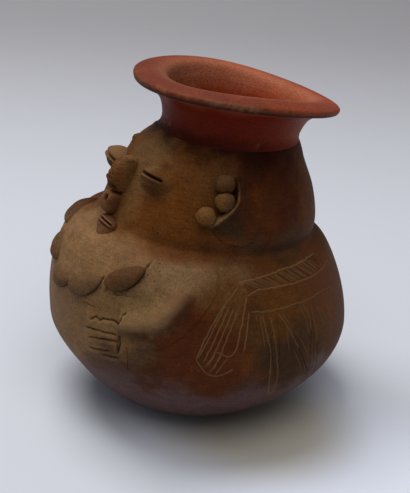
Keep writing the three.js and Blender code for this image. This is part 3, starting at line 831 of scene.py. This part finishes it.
def nosePlug(coat):
    p = plugSizes
    spot = plugSpot()

    def form(x, y, z):
        grow = squared(x, y, 0.3)
        along, up = p["halfWidth"] * x * grow, p["halfHeight"] * y * grow
        out = p["rise"] * max(z, 0) ** 0.55
        out += 0.3 * wobble(along, up, 5, 0.35) * clamped(out)
        aside, level = p["holeSpot"]
        pit = bump(hypot(along - aside, 0.75 * (up - level)), p["hole"])
        rim = bump(hypot(along - aside, up - level - 0.3) - 2.2, 0.7)
        out += 0.3 * rim - p["holeDepth"] * pit
        if z < 0:
            out = -2 * abs(z)
        # painted light round the top of the hole and along the top edge, painted shade in the hole and on
        # the right side
        dust = 0.3 * max(rim * (up > 1), bump(up - 4.6, 1.2))
        return along, up, out, dust, min(1, max(1.3 * pit, 0.45 * smoothStep(along, 3.2, 5.5)))

    pressedLump("nosePlug", "nose_plug", coat, spot, form, 6)


mouthSizes = {
    "degrees": 3.5, "drop": 4.7, "halfWidth": 8.6, "halfHeight": 6.0, "rise": 4.3,
    "slitWidth": 0.45, "slitDepth": 1.8, "crackDepth": 1.0,
}


def mouth(coat):
    m = mouthSizes
    plugEnd = stepOver(plugSpot(), 0, -plugSizes["cadHalfHeight"])[1]
    spot = (radians(m["degrees"]), plugEnd - m["drop"])
    out = wallNormal(*spot)
    across = Vector((cos(spot[0]), sin(spot[0]), 0))
    up = out.cross(across).normalized()
    seat = Matrix.Translation(wallPoint(*spot)) @ Matrix((across, up, out)).transposed().to_4x4()

    def form(x, y, z):
        droop = smoothStep(-y, 0.2, 1)
        along = m["halfWidth"] * x * (1 - 0.35 * droop) + 4.2 * droop
        high = m["halfHeight"] * y * (0.8 + 0.9 * droop)
        lips = m["rise"] * z + 1.8 * droop * max(z, 0) ** 0.5
        slope = high - 1.0 + 0.06 * along
        inSlit = 1 - smoothStep(abs(along), 6.0, 8.0)
        slit = inSlit * bump(slope, m["slitWidth"])
        ridges = inSlit * max(bump(slope + 1.0, 0.42), bump(slope - 1.0, 0.42))
        crack = inSlit * bump(slope + 2.2, 0.4)
        if z > 0:
            lips += 0.7 * ridges - m["slitDepth"] * slit - m["crackDepth"] * crack
            lips += 0.35 * wobble(along, high, 3, 0.5)
        # painted light on the ridges of the lips, painted shade in the slit and the crack and, more
        # lightly, on the rest
        return along, high, lips, 0.5 * ridges, max(0.75 * slit, 0.6 * crack, 0.42 * (1 - ridges))

    pressedLump("mouthPellet", "mouth", coat, spot, form, 6, seat)


mirror = {"left": 1, "right": -1}  # the right side is worked out on the left and turned over
ears = {
    "left": {"spot": (radians(66.5), onHead(0.62)), "balls": [(0, 4.9), (0.9, -3.8), (-6.6, -12)]},
    "right": {"spot": (radians(76), onHead(0.63)), "balls": [(0, 4.2), (0.7, -4.3), (-9.6, -7)]},
    "ballRadius": 5.1,
    "ballSink": 2.4,
    "flapRise": 4.8,
    "flapWidth": 9.5,
    "flapEdge": 0.25,  # share of the flap that curls in over the ear
    # crest of the flap: along, up, share of the rise, share of the width
    "flapPath": [(5.4, 9.4, 0.45, 0.45), (6.2, 5.6, 0.8, 0.75), (6.7, 1.0, 0.95, 0.9),
                 (6.3, -3.4, 1, 1), (4.2, -7.6, 1, 1.2), (1.2, -11.4, 0.9, 1.35),
                 (-1.8, -14.8, 0.7, 1.2), (-4.4, -17.8, 0.4, 0.7)],
}


def earBall(side, index, coat):
    ear = ears[side]
    angle, height = stepOver(ear["spot"], *ear["balls"][index])
    seat = Matrix.Translation(abovePoint(angle * mirror[side], height, ears["ballSink"]))
    seed = Vector((index * 5.3, mirror[side] * 2.1, 4))

    def form(x, y, z):
        direction = Vector((x, y, z))
        grow = 1 + 0.09 * noise.noise(direction * 1.3 + seed) + 0.06 * noise.noise(direction * 4 + seed)
        grow += 0.05 * noise.noise(direction * 9 + seed)
        radius = ears["ballRadius"] * grow
        # painted light on the top of the ball and painted shade on its underside
        return x * radius, y * radius, z * radius, 0.25 * max(z, 0) ** 2, 0.7 * smoothStep(-z, 0.1, 0.9)

    name, node = (side + word + str(index + 1) for word in ("EarBall", "_ear_ball_"))
    pressedLump(name, node, coat, None, form, 5, seat)


# A patch laid on the wall: rows and columns of spots; what lies further away than reach is left out
def laidPatch(name, node, coat, rows, columns, spotOf, thickness, reach=None):
    bm = newClay()
    dustAndHighlightLayer, sootAndShadeLayer = dirtAndLightLayers(bm)
    bmesh.ops.create_grid(bm, x_segments=columns, y_segments=rows, size=0.5)
    outside = []
    for vert in bm.verts:
        angle, height, rise, dust, soot, *away = spotOf(vert.co.x + 0.5, vert.co.y + 0.5)
        vert[dustAndHighlightLayer], vert[sootAndShadeLayer] = dust, soot
        vert.co = abovePoint(angle, height, rise)
        if reach and away[0] > reach:
            outside.append(vert)
    bmesh.ops.delete(bm, geom=outside, context="VERTS")
    bmesh.ops.recalc_face_normals(bm, faces=bm.faces)
    outward = 0.0
    for face in bm.faces:
        middle = face.calc_center_median()
        outward += face.normal.dot(Vector((middle.x, middle.y, 0)))
    if outward < 0:
        bmesh.ops.reverse_faces(bm, faces=bm.faces)
    bmesh.ops.solidify(bm, geom=bm.faces, thickness=thickness)
    for edge in bm.edges:
        edge.smooth = edge.calc_face_angle(0) < 1.3
    newPiece(name, bm, node, coat)


def alongPath(path, t):
    line = smoothLine(path, 12)
    reached = t * (len(line) - 1)
    k = min(int(reached), len(line) - 2)
    pairs = list(zip(line[k], line[k + 1]))
    return [a + (reached - k) * (b - a) for a, b in pairs], [b - a for a, b in pairs]


def earFlap(side, coat):
    edge = ears["flapEdge"]

    def spotOf(across, t):
        (along, up, rise, width), (runAlong, runUp, _, _) = alongPath(ears["flapPath"], t)
        run = hypot(runAlong, runUp)
        outward = (-runUp / run, runAlong / run)
        crest, slope = rise * ears["flapRise"], width * ears["flapWidth"]
        if across < edge:
            share = across / edge
            out = -1.3 * (1 - share)
            lift = -0.8 + (crest + 0.8) * smoothStep(share, -0.3, 1)
        else:
            share = (across - edge) / (1 - edge)
            out = 1.5 * slope * share
            lift = crest * (1 - share) ** 2.4 + 0.02
        ends = min(1, 6 * t, 6 * (1 - t))
        lift = 0.02 + (lift - 0.02) * smoothStep(ends, 0, 1)
        wrinkle = 0.6 * wobble(out * 1.3, t * 7, 2 * mirror[side]) * clamped(lift)
        wrinkle += 0.3 * wobble(out * 0.5, t * 30, 5) * clamped(lift)
        spot = stepOver(ears[side]["spot"], along + outward[0] * out, up + outward[1] * out)
        ragged = 0.7 + 0.6 * wobble(t * 22, 1, 1)
        # painted light along the crest and on the lower part of the curl, painted shade in the upper part
        # of the curl and on the slope below the crest
        dust = max(ragged * bump(across - edge, 0.016) * smoothStep(t, 0.1, 0.45) * ends,
                   0.6 * smoothStep(t, 0.45, 0.8) * (across < 0.24) * ends)
        soot = max(0.75 * (across < 0.235) * (1 - smoothStep(t, 0.5, 0.8)),
                   0.5 * (1 - smoothStep(across, 0.4, 1)) * (across > 0.28))
        return spot[0] * mirror[side], spot[1], lift + wrinkle, dust, soot

    laidPatch(side + "EarFlap", side + "_ear_flap", coat, 70, 44, spotOf, -0.6)


necklace = {
    "front": {"node": "necklace_front_pellet", "degrees": 1, "share": 0.77,
              "turn": 0, "length": 0.83, "height": 0.92, "lift": 1},
    "leftInner": {"node": "necklace_left_pellet_1", "degrees": 16.3, "share": 0.802,
                  "turn": 20, "length": 1.1, "height": 1.0, "lift": 1},
    "leftOuter": {"node": "necklace_left_pellet_2", "degrees": 34.2, "share": 0.89,
                  "turn": 29, "length": 0.98, "height": 1.08, "lift": 1.3},
    "rightInner": {"node": "necklace_right_pellet_1", "degrees": -13, "share": 0.85,
                   "turn": -36, "length": 0.75, "height": 0.95, "lift": 1},
    "rightOuter": {"node": "necklace_right_pellet_2", "degrees": -30, "share": 0.96,
                   "turn": -32, "length": 1.0, "height": 0.95, "lift": 1},
    "halfLength": 11.4,
    "halfHeight": 5.1,
    "rise": 3.9,
}


def pellet(which, coat):
    p = necklace[which]
    turn = radians(p["turn"])
    spot = (radians(p["degrees"]), onBody(p["share"]))
    seed = Vector((p["degrees"], 1, 2))
    halfLength, halfHeight = necklace["halfLength"] * p["length"], necklace["halfHeight"] * p["height"]
    addJoint(spot, halfLength, halfHeight, turn)

    def form(x, y, z):
        u = halfLength * x
        v = halfHeight * y * (1 - 0.16 * x * abs(x)) + 0.9 * x * x - 0.4
        dome = max(z, 0) ** (0.95 + 0.45 * y)
        out = necklace["rise"] * p["lift"] * dome * (0.9 - 0.18 * y)
        out += 0.4 * dome * noise.noise(Vector((u, v, out)) * 0.28 + seed)
        if z < 0:
            out = -1.5 * abs(z)
        rim = bump(z, 0.3)
        # painted light along the upper edge and painted shade along the lower edge
        return (u * cos(turn) - v * sin(turn), u * sin(turn) + v * cos(turn), out,
                0.15 * max(y, 0) * rim, 0.95 * smoothStep(-y + 0.4 * x, 0, 0.8) * rim)

    name = "necklacePellet" + which[0].upper() + which[1:]
    pressedLump(name, p["node"], coat, spot, form, 5)


arms = {
    "left": 36,
    "right": 36 + cut["farTurn"],
    "rise": 4.3,
    "upperSide": 11.0,
    "lowerSide": 10.0,
    "span": (-3.0, 38.0),
    "heights": (51.0, 100.0),
    # crest from the wrist over the elbow to the shoulder: degrees past the wrist, share of body height
    "path": [(0, 0.702), (5.5, 0.71), (11, 0.726), (15.5, 0.757), (19, 0.8), (22.2, 0.848),
             (25, 0.895), (26.6, 0.925)],
}


# The crest in millimetres along and up, as a tree of points
def armCrest():
    around = radians(1) * wallRadius(onBody(0.75))
    line = evenly(smoothLine([(degrees * around, onBody(share)) for degrees, share in arms["path"]]), 0.4)
    return treeOf(line), line, around


def arm(side, coat):
    tree, line, around = armCrest()
    (first, last), (low, high) = arms["span"], arms["heights"]

    def spotOf(across, t):
        degrees = first + across * (last - first)
        along, height = degrees * around, low + t * (high - low)
        near, i, away = tree.find((along, height, 0))
        a, b = line[max(i - 1, 0)], line[min(i + 1, len(line) - 1)]
        under = (b[0] - a[0]) * (height - near[1]) - (b[1] - a[1]) * (along - near[0]) < 0
        if under:
            lift = max(1 - away / arms["lowerSide"], 0) ** 1.8
        else:
            lift = (1 - smoothStep(away, 0, arms["upperSide"])) ** 1.3
        passed = i / (len(line) - 1)
        strength = (1 - smoothStep(passed, 0.7, 1)) * smoothStep(along, -0.6, 1.6)
        lineRise, dust, soot = carved(radians(arms["left"] + degrees), height)
        lift *= arms["rise"] * strength
        lift += 0.25 * wobble(degrees * 0.5, height * 0.3, 3) * min(1, lift)
        # painted highlight along the crest and painted shade on the lower slope
        crestHighlight = 0.55 * bump(away * (1 if under else 0.5), 2.2) * strength
        shade = 0.45 * bump(away - 4.4, 3.0) * strength if under else 0
        angle = radians(arms[side] + degrees) * mirror[side]
        lineRise += smoothedIn(angle, height)[0]
        return angle, height, lift + 0.02 + lineRise, max(dust, crestHighlight), max(soot, shade), away

    laidPatch(side + "Arm", side + "_arm", coat, 130, 130, spotOf, -0.7,
              max(arms["upperSide"], arms["lowerSide"]) + 1)


hands = {"wristShare": 0.6, "along": (-25.5, 3.5), "up": (-14.5, 12.5), "rise": 1.2, "edge": 6.5}


def hand(side, coat):
    wrist = (radians(arms["left"]), onBody(hands["wristShare"]))
    turned = radians(arms[side] - arms["left"])
    (left, right), (low, high) = hands["along"], hands["up"]

    def spotOf(across, t):
        along = left + across * (right - left)
        up = low + t * (high - low)
        spot = stepOver(wrist, along, up)
        inside = min(along - left, 1.6 * (right - along), up - low, high - up) / hands["edge"]
        lift = hands["rise"] * smoothStep(inside, 0.1, 1) + 0.02
        lineRise, dust, soot = carved(*spot)
        angle = (spot[0] + turned) * mirror[side]
        lift += lineRise + smoothedIn(angle, spot[1])[0]
        lift += 0.15 * wobble(along, up, 7, 0.5) * clamped(inside)
        return angle, spot[1], lift, dust, soot

    laidPatch(side + "Hand", side + "_hand", coat, 90, 100, spotOf, -0.5)


# A socket that can be used in sums and products; every sum adds its Math node
class Reading:
    def __init__(self, paint, socket):
        self.paint = paint
        self.socket = socket

    def reckon(self, operation, first, second):
        return self.paint.add("Math", {"operation": operation}, {0: first, 1: second})

    def __add__(self, other):
        return self.reckon("ADD", self, other)

    def __sub__(self, other):
        return self.reckon("SUBTRACT", self, other)

    def __rsub__(self, other):
        return self.reckon("SUBTRACT", other, self)

    def __mul__(self, other):
        return self.reckon("MULTIPLY", self, other)

    def within(self, low, high):
        return self.paint.add("MapRange", {"interpolation_type": "SMOOTHSTEP"}, {0: self, 1: low, 2: high})


class Paint:
    def __init__(self, name):
        self.material = bpy.data.materials.new(name)
        self.material.use_nodes = True
        self.tree = self.material.node_tree
        self.tree.nodes.clear()
        self.spot = self.add("TexCoord", {}, {}, "Object")

    # Adds a node: its type, settings such as an operation or a ramp's stops, and its inputs
    def add(self, kind, settings, inputs, out=0):
        node = self.tree.nodes.new("ShaderNode" + kind)
        for key, value in settings.items():
            if key == "stops":
                ramp = node.color_ramp.elements
                while len(ramp) < len(value):
                    ramp.new(1)
                for stop, (position, *colour) in zip(ramp, value):
                    stop.position, stop.color = position, (*colour, 1)
            else:
                setattr(node, key, value)
        for key, value in inputs.items():
            if isinstance(value, Reading):
                self.tree.links.new(value.socket, node.inputs[key])
            elif isinstance(value, tuple) and node.inputs[key].type == "RGBA" and len(value) == 3:
                node.inputs[key].default_value = (*value, 1)
            else:
                node.inputs[key].default_value = value
        return Reading(self, node.outputs[out]) if node.outputs else node

    def mix(self, mask, under, over, blend="MIX"):
        return self.add("Mix", {"data_type": "RGBA", "blend_type": blend}, {0: mask, 6: under, 7: over}, 2)

    def multiply(self, mask, under, over):
        return self.mix(mask, under, over, "MULTIPLY")

    # A distance from another place, or the part of the way along a direction
    def measure(self, operation, where, other):
        return self.add("VectorMath", {"operation": operation}, {0: where, 1: tuple(other)}, "Value")

    def heightOf(self, where):
        return self.add("SeparateXYZ", {}, {0: where}, "Z")

    def ramp(self, value, stops):
        return self.add("ValToRGB", {"stops": stops}, {0: value}, "Color")

    def noise(self, scale, detail, roughness, stretch=None, out="Fac"):
        where = self.spot
        if stretch:
            where = self.add("Mapping", {}, {"Vector": where, "Scale": stretch})
        inputs = {"Vector": where, "Scale": scale, "Detail": detail, "Roughness": roughness}
        return self.add("TexNoise", {}, inputs, out)

    def attribute(self, name):
        return self.add("Attribute", {"attribute_name": name}, {}, "Fac")

    def finish(self, inputs):
        shader = self.add("BsdfPrincipled", {}, inputs)
        self.add("OutputMaterial", {}, {"Surface": shader})
        return self.material


def tint(*colour):
    return tuple(c / 255 / 12.92 if c <= 10 else ((c / 255 + 0.055) / 1.055) ** 2.4 for c in colour)


# Patches left by the fire and by handling: colour, degrees, height, reach in mm, softness, strength
firing = {
    "base": tint(84, 46, 18),
    "underside": tint(94, 72, 72),
    "neckStain": tint(44, 11, 3),
    "wander": 0.05,
    # heights in metres between which a colour fades in
    "creaseFade": (0.1035, 0.099),
    "undersideFade": (0.046, 0.026),
    "neckFade": (0.1435, 0.152),
    "patches": {
        "khakiChest": ((127, 96, 63), 6, 80, 62, 0.5, 0.95),
        "chestLow": ((120, 88, 55), 30, 68, 30, 0.6, 0.7),
        "mauveFront": ((74, 52, 41), 30, 41, 26, 0.7, 0.8),
        "mauveRight": ((112, 98, 96), 108, 29, 20, 0.8, 0.85),
        "darkLow": ((66, 46, 42), 81, 37, 18, 0.8, 0.7),
        "rustWing": ((62, 28, 15), 74, 57, 15, 0.8, 0.7),
        "tanFan": ((108, 76, 36), 74, 82, 14, 0.8, 0.55),
        "rustWrist": ((66, 36, 20), 50, 50, 24, 0.7, 0.8),
        "rustFlank": ((80, 38, 12), 64, 62, 36, 0.6, 0.9),
        "orangeFlank": ((104, 54, 14), 82, 58, 13, 0.9, 0.8),
        "oliveBack": ((76, 50, 22), 105, 70, 44, 0.6, 0.8),
        "smokeRight": ((50, 34, 18), 98, 54, 27, 0.8, 0.75),
        "orangeShoulder": ((96, 56, 16), 102, 88, 26, 0.8, 0.7),
        "rustShoulder": ((96, 54, 22), 125, 84, 34, 0.7, 0.8),
        "tanArm": ((121, 94, 60), 47, 82, 21, 0.6, 0.9),
        "rustHand": ((84, 54, 36), 29, 59, 11, 0.8, 0.6),
        "oliveWrist": ((84, 62, 42), 43, 57, 13, 0.8, 0.7),
        "tanCreaseFront": ((132, 106, 76), 26, 98, 10, 0.9, 0.6),
        "ochreFace": ((96, 54, 14), 34, 118, 44, 0.6, 0.95),
        "ochreBrow": ((94, 60, 26), -12, 138, 34, 0.6, 0.9),
        "tanCheek": ((112, 78, 44), 14, 117, 15, 0.8, 0.75),
        "tanBrow": ((104, 76, 44), 12, 136, 26, 0.7, 0.85),
        "khakiTemple": ((86, 56, 22), 56, 134, 18, 0.8, 0.4),
        "oliveEar": ((62, 48, 28), 77, 118, 15, 0.7, 0.85),
        "rustNape": ((66, 27, 4), 94, 133, 32, 0.6, 0.9),
        "orangeNape": ((86, 42, 8), 84, 124, 12, 0.9, 0.7),
        "smokeNape": ((66, 46, 28), 104, 108, 22, 0.8, 0.8),
        "stainSide": ((38, 9, 1), 56, 150, 22, 0.8, 0.85),
        "stainBack": ((34, 9, 1), 88, 147, 28, 0.8, 0.85),
        "darkBack": ((58, 38, 22), 190, 90, 60, 0.7, 0.6),
        "smokeBack": ((46, 36, 28), 215, 60, 34, 0.8, 0.7),
        "rustFar": ((86, 46, 20), 290, 60, 48, 0.7, 0.7),
    },
    # dust on the shoulder, which ends at the crease
    "shoulderDust": {
        "tanCrease": ((120, 94, 64), 42, 97, 22, 0.8, 0.85),
        "tanCreaseSide": ((120, 94, 64), 56, 95, 22, 0.8, 0.8),
        "tanCreaseBack": ((106, 80, 50), 74, 97, 20, 0.9, 0.7),
    },
}


def firedClay(name, shade, roughness=0.56):
    paint = Paint(name)
    wander = paint.noise(38.0, 4.0, 0.6, out="Color")
    shift = paint.add("VectorMath", {"operation": "SUBTRACT"}, {0: wander, 1: (0.5, 0.5, 0.5)})
    shift = paint.add("VectorMath", {"operation": "SCALE"}, {0: shift, "Scale": firing["wander"]})
    where = paint.add("VectorMath", {"operation": "ADD"}, {0: paint.spot, 1: shift})
    colour = firing["base"]
    belowCrease = paint.heightOf(paint.spot).within(*firing["creaseFade"])
    for patches, limit in ((firing["patches"], 1.0), (firing["shoulderDust"], belowCrease)):
        for patch, degrees, level, reach, softness, strength in patches.values():
            away = paint.measure("DISTANCE", where, wallPoint(radians(degrees), level) * mm)
            mask = away.within(reach * mm, reach * (1 - softness) * mm) * strength * limit
            colour = paint.mix(mask, colour, tint(*patch))
    # towards the bottom the clay turns mauve, which paints in the pale floor's reflection together with
    # the clay's own colour
    low = paint.heightOf(where).within(*firing["undersideFade"])
    colour = paint.mix(low * 0.9, colour, firing["underside"])
    high = neckLevel(paint, where).within(*firing["neckFade"])
    colour = paint.mix(high * 0.92, colour, firing["neckStain"])
    return finishClay(paint, colour, shade, roughness)


# Height over the foot of the neck, measured in the tipped plane of its ring
def neckLevel(paint, where):
    return paint.measure("DOT_PRODUCT", where, (0, 0.0805, 1)) - 0.0012


# The surface of the clay: noises as scale, detail and roughness, and ramps as position and colour
surface = {
    "mottle": (160.0, 5.0, 0.65),
    "mottleRamp": [(0.3, 0.8, 0.78, 0.75), (0.5, 0.98, 0.98, 0.98), (0.72, 1.18, 1.17, 1.15)],
    "grain": (950.0, 3.0, 0.7),
    "grainRamp": [(0.3, 0.7, 0.68, 0.66), (0.7, 1.26, 1.26, 1.24)],
    "streaks": (75.0, 4.0, 0.65, (1.0, 1.0, 11.0)),
    "streakRamp": [(0.35, 0.86, 0.86, 0.86), (0.65, 1.12, 1.12, 1.12)],
    "pitScale": 330.0,
    "rare": (90.0, 2.0, 0.5),
    "bump": {"Strength": 0.7, "Distance": 0.0008},
    "speck": tint(46, 26, 16),
    # colours of dust and painted highlights, and of soot and painted shade
    "dust": tint(142, 110, 76),
    "soot": tint(26, 14, 9),
}


def finishClay(paint, colour, shade, roughness, uneven=1.0):
    mottle, grain = paint.noise(*surface["mottle"]), paint.noise(*surface["grain"])
    rare, streaks = paint.noise(*surface["rare"]), paint.noise(*surface["streaks"])
    colour = paint.multiply(uneven, colour, paint.ramp(mottle, surface["mottleRamp"]))
    colour = paint.multiply(1.0, colour, paint.ramp(grain, surface["grainRamp"]))
    spots = {"Vector": paint.spot, "Scale": surface["pitScale"]}
    pits = paint.add("TexVoronoi", {"feature": "F1"}, spots, "Distance")
    specks = pits.within(0.16, 0.06) * rare.within(0.5, 0.62)
    colour = paint.mix(specks * 0.7, colour, surface["speck"])
    colour = paint.multiply(0.8 * uneven, colour, paint.ramp(streaks, surface["streakRamp"]))
    colour = paint.multiply(1.0, colour, shade)
    dust, soot = paint.attribute("dust"), paint.attribute("soot")
    # dust with painted highlights, and soot with painted shade
    colour = paint.mix(dust * 0.85, colour, surface["dust"])
    colour = paint.mix(soot * 0.85, colour, surface["soot"])
    rough = (streaks - 0.5) * 0.25 + roughness + (mottle - 0.5) * 0.15 + dust * 0.2
    rise = mottle * 0.6 + grain * 0.45 + streaks * 0.35 - specks * 1.2
    normal = paint.add("Bump", {}, {**surface["bump"], "Height": rise})
    return paint.finish({"Base Color": colour, "Roughness": rough, "Normal": normal, "IOR": 1.25,
                         "Specular IOR Level": 0.2})


slip = {
    "red": tint(130, 60, 40),
    "orange": tint(148, 68, 38),
    "maroon": tint(118, 33, 10),
    "funnel": tint(162, 94, 66),
    "throat": tint(142, 50, 14),
    "dark": tint(66, 17, 5),
    "worn": tint(126, 88, 66),
    "lit": tint(136, 52, 22),
    # middles of the painted light on the neck and of the painted shade at the front of the rim
    "litSpot": place(36, radians(150), 160) * mm,
    "paintedRimShadeSpot": place(54, radians(20), 174) * mm,
    "paintedRimShade": (0.66, 0.7, 0.74),
    # heights in metres between which a colour fades in
    "neckFade": (0.172, 0.1665),
    "footFade": (0.157, 0.149),
    "throatFade": (0.173, 0.158),
}


def redSlip(name):
    paint = Paint(name)
    blotch = paint.noise(45.0, 5.0, 0.6)
    colour = paint.mix(blotch.within(0.4, 0.65), slip["red"], slip["orange"])
    wander = paint.noise(60.0, 3.0, 0.6) * 0.012 - 0.006
    level = neckLevel(paint, paint.spot) + wander
    inner = paint.attribute("inner")
    outside = 1.0 - inner
    farSide = paint.measure("DISTANCE", paint.spot, slip["litSpot"])
    neck = paint.mix(farSide.within(0.05, 0.01) * 0.9, slip["maroon"], slip["lit"])
    colour = paint.mix(level.within(*slip["neckFade"]) * outside, colour, neck)
    foot = level.within(*slip["footFade"]) * outside * farSide.within(0.0, 0.06) * 0.85
    colour = paint.mix(foot, colour, slip["dark"])
    hollow = paint.mix(level.within(*slip["throatFade"]), slip["funnel"], slip["throat"])
    colour = paint.mix(inner * 0.9, colour, hollow)
    # painted shade over the front of the rim, inside and out
    paintedRimShade = paint.measure("DISTANCE", paint.spot, slip["paintedRimShadeSpot"]).within(0.095, 0.05)
    colour = paint.multiply(paintedRimShade, colour, slip["paintedRimShade"])
    worn = paint.noise(70.0, 6.0, 0.7, stretch=(1.0, 1.0, 2.5))
    colour = paint.mix(worn.within(0.6, 0.72) * 0.5, colour, slip["worn"])
    return finishClay(paint, colour, (1.0, 1.0, 1.0), 0.5, 0.4)


# Floor, lights and camera
studio = {
    "camera": {"azimuth": 62.3, "elevation": 23.23, "roll": 3.01, "distance": 0.62839, "lens": 83.13,
               "film": 36, "target": (0, 0.00458, 0.08287)},
    "key": {"azimuth": -72, "elevation": 66, "size": 1.4, "watts": 35},
    "fill": {"azimuth": 72, "elevation": 64, "size": 1.8, "watts": 18},
    "lampDistance": 2.2,
    "lampTarget": (0, 0, 0.08),
    "lampColour": (1, 0.98, 0.95),
    "sky": ((0.9, 0.93, 1.0), 0.25),
    "floorHalf": 4,
    # the floor near the vase, and far behind it, where painted shade darkens it
    "floorNear": (0.6, 0.625, 0.695),
    "floorFarShade": (0.34, 0.335, 0.355),
    # painted brown shadow of the vase on the floor, with the brown light the vase throws: middle, reach
    # and colour
    "paintedFloorShadow": ((0.06, 0.012, 0), 0.068, (0.62, 0.54, 0.4)),
    # painted light that pales the floor beyond the shadow
    "paintedFloorLight": ((0.125, 0.03, 0), 0.1, (1.36, 1.38, 1.42)),
}


def aim(azimuth, elevation):
    a, e = radians(azimuth), radians(elevation)
    return Vector((sin(a) * cos(e), -cos(a) * cos(e), sin(e)))


def setCamera():
    c = studio["camera"]
    back = aim(c["azimuth"], c["elevation"])
    right = Vector((cos(radians(c["azimuth"])), sin(radians(c["azimuth"])), 0))
    up = back.cross(right)
    roll = radians(c["roll"])
    right, up = right * cos(roll) + up * sin(roll), up * cos(roll) - right * sin(roll)
    data = bpy.data.cameras.new("camera")
    data.lens, data.sensor_width = c["lens"], c["film"]
    camera = inScene("camera", data)
    camera.matrix_world = (Matrix.Translation(Vector(c["target"]) + back * c["distance"])
                           @ Matrix((right, up, back)).transposed().to_4x4())
    bpy.context.scene.camera = camera


def addLamp(name):
    l = studio[name]
    data = bpy.data.lights.new(name, "AREA")
    data.shape, data.size = "DISK", l["size"]
    data.energy, data.color = l["watts"], studio["lampColour"]
    back = aim(l["azimuth"], l["elevation"])
    spot = Matrix.Translation(back * studio["lampDistance"] + Vector(studio["lampTarget"]))
    inScene(name, data).matrix_world = spot @ back.to_track_quat("Z", "Y").to_matrix().to_4x4()


def floorPaint():
    paint = Paint("paleFloor")
    away = paint.measure("DOT_PRODUCT", paint.spot, -aim(studio["camera"]["azimuth"], 0))
    # painted shade darkens the floor far away
    colour = paint.mix(away.within(0.1, 1.0), studio["floorNear"], studio["floorFarShade"])
    # painted shadow near the vase, then painted light beyond it
    for middle, reach, shade in (studio["paintedFloorShadow"], studio["paintedFloorLight"]):
        near = paint.measure("DISTANCE", paint.spot, middle)
        colour = paint.multiply(near.within(reach, 0.3 * reach), colour, shade)
    return paint.finish({"Base Color": colour, "Roughness": 0.7, "Specular IOR Level": 0.2})


def setStudio():
    setCamera()
    addLamp("key")
    addLamp("fill")
    world = bpy.data.worlds.new("studio")
    world.use_nodes = True
    sky, strength = studio["sky"]
    background = world.node_tree.nodes["Background"]
    background.inputs["Color"].default_value = (*sky, 1)
    background.inputs["Strength"].default_value = strength
    bpy.context.scene.world = world
    bm = bmesh.new()
    bmesh.ops.create_grid(bm, x_segments=2, y_segments=2, size=studio["floorHalf"])
    meshObject("floor", bm, floorPaint())
    bpy.context.scene.view_settings.view_transform = "Standard"


bodyClay = firedClay("bodyClay", (1.0, 1.0, 1.0))
pelletClay = firedClay("pelletClay", (0.6, 0.58, 0.62), 0.68)
brownClay = firedClay("brownClay", (0.5, 0.41, 0.36), 0.66)
ballClay = firedClay("ballClay", (1.3, 1.8, 2.8), 0.7)
greyClay = firedClay("greyClay", (0.8, 1.0, 1.65), 0.7)
mouthClay = firedClay("mouthClay", (1.0, 0.86, 0.95), 0.66)
noseClay = firedClay("noseClay", (1.0, 0.84, 0.8), 0.65)
slipCoat = redSlip("redSlip")
print("clays and slip mixed")

for which in ("front", "leftInner", "leftOuter", "rightInner", "rightOuter"):
    pellet(which, brownClay if which == "leftOuter" else pelletClay)
for side in ("left", "right"):
    eye(side, bodyClay)
    earFlap(side, bodyClay)
    for k in range(3):
        earBall(side, k, ballClay if k else greyClay)
    arm(side, bodyClay)
    hand(side, bodyClay)
noseWedge(noseClay)
nosePlug(noseClay)
mouth(mouthClay)
print("face, ears, arms and necklace pressed on")

bellyBowl(bodyClay)
shoulderWall(bodyClay)
headDome(bodyClay)
neckCollar(slipCoat)
rimFlange(slipCoat)
print("walls built")

setStudio()
print("studio set")
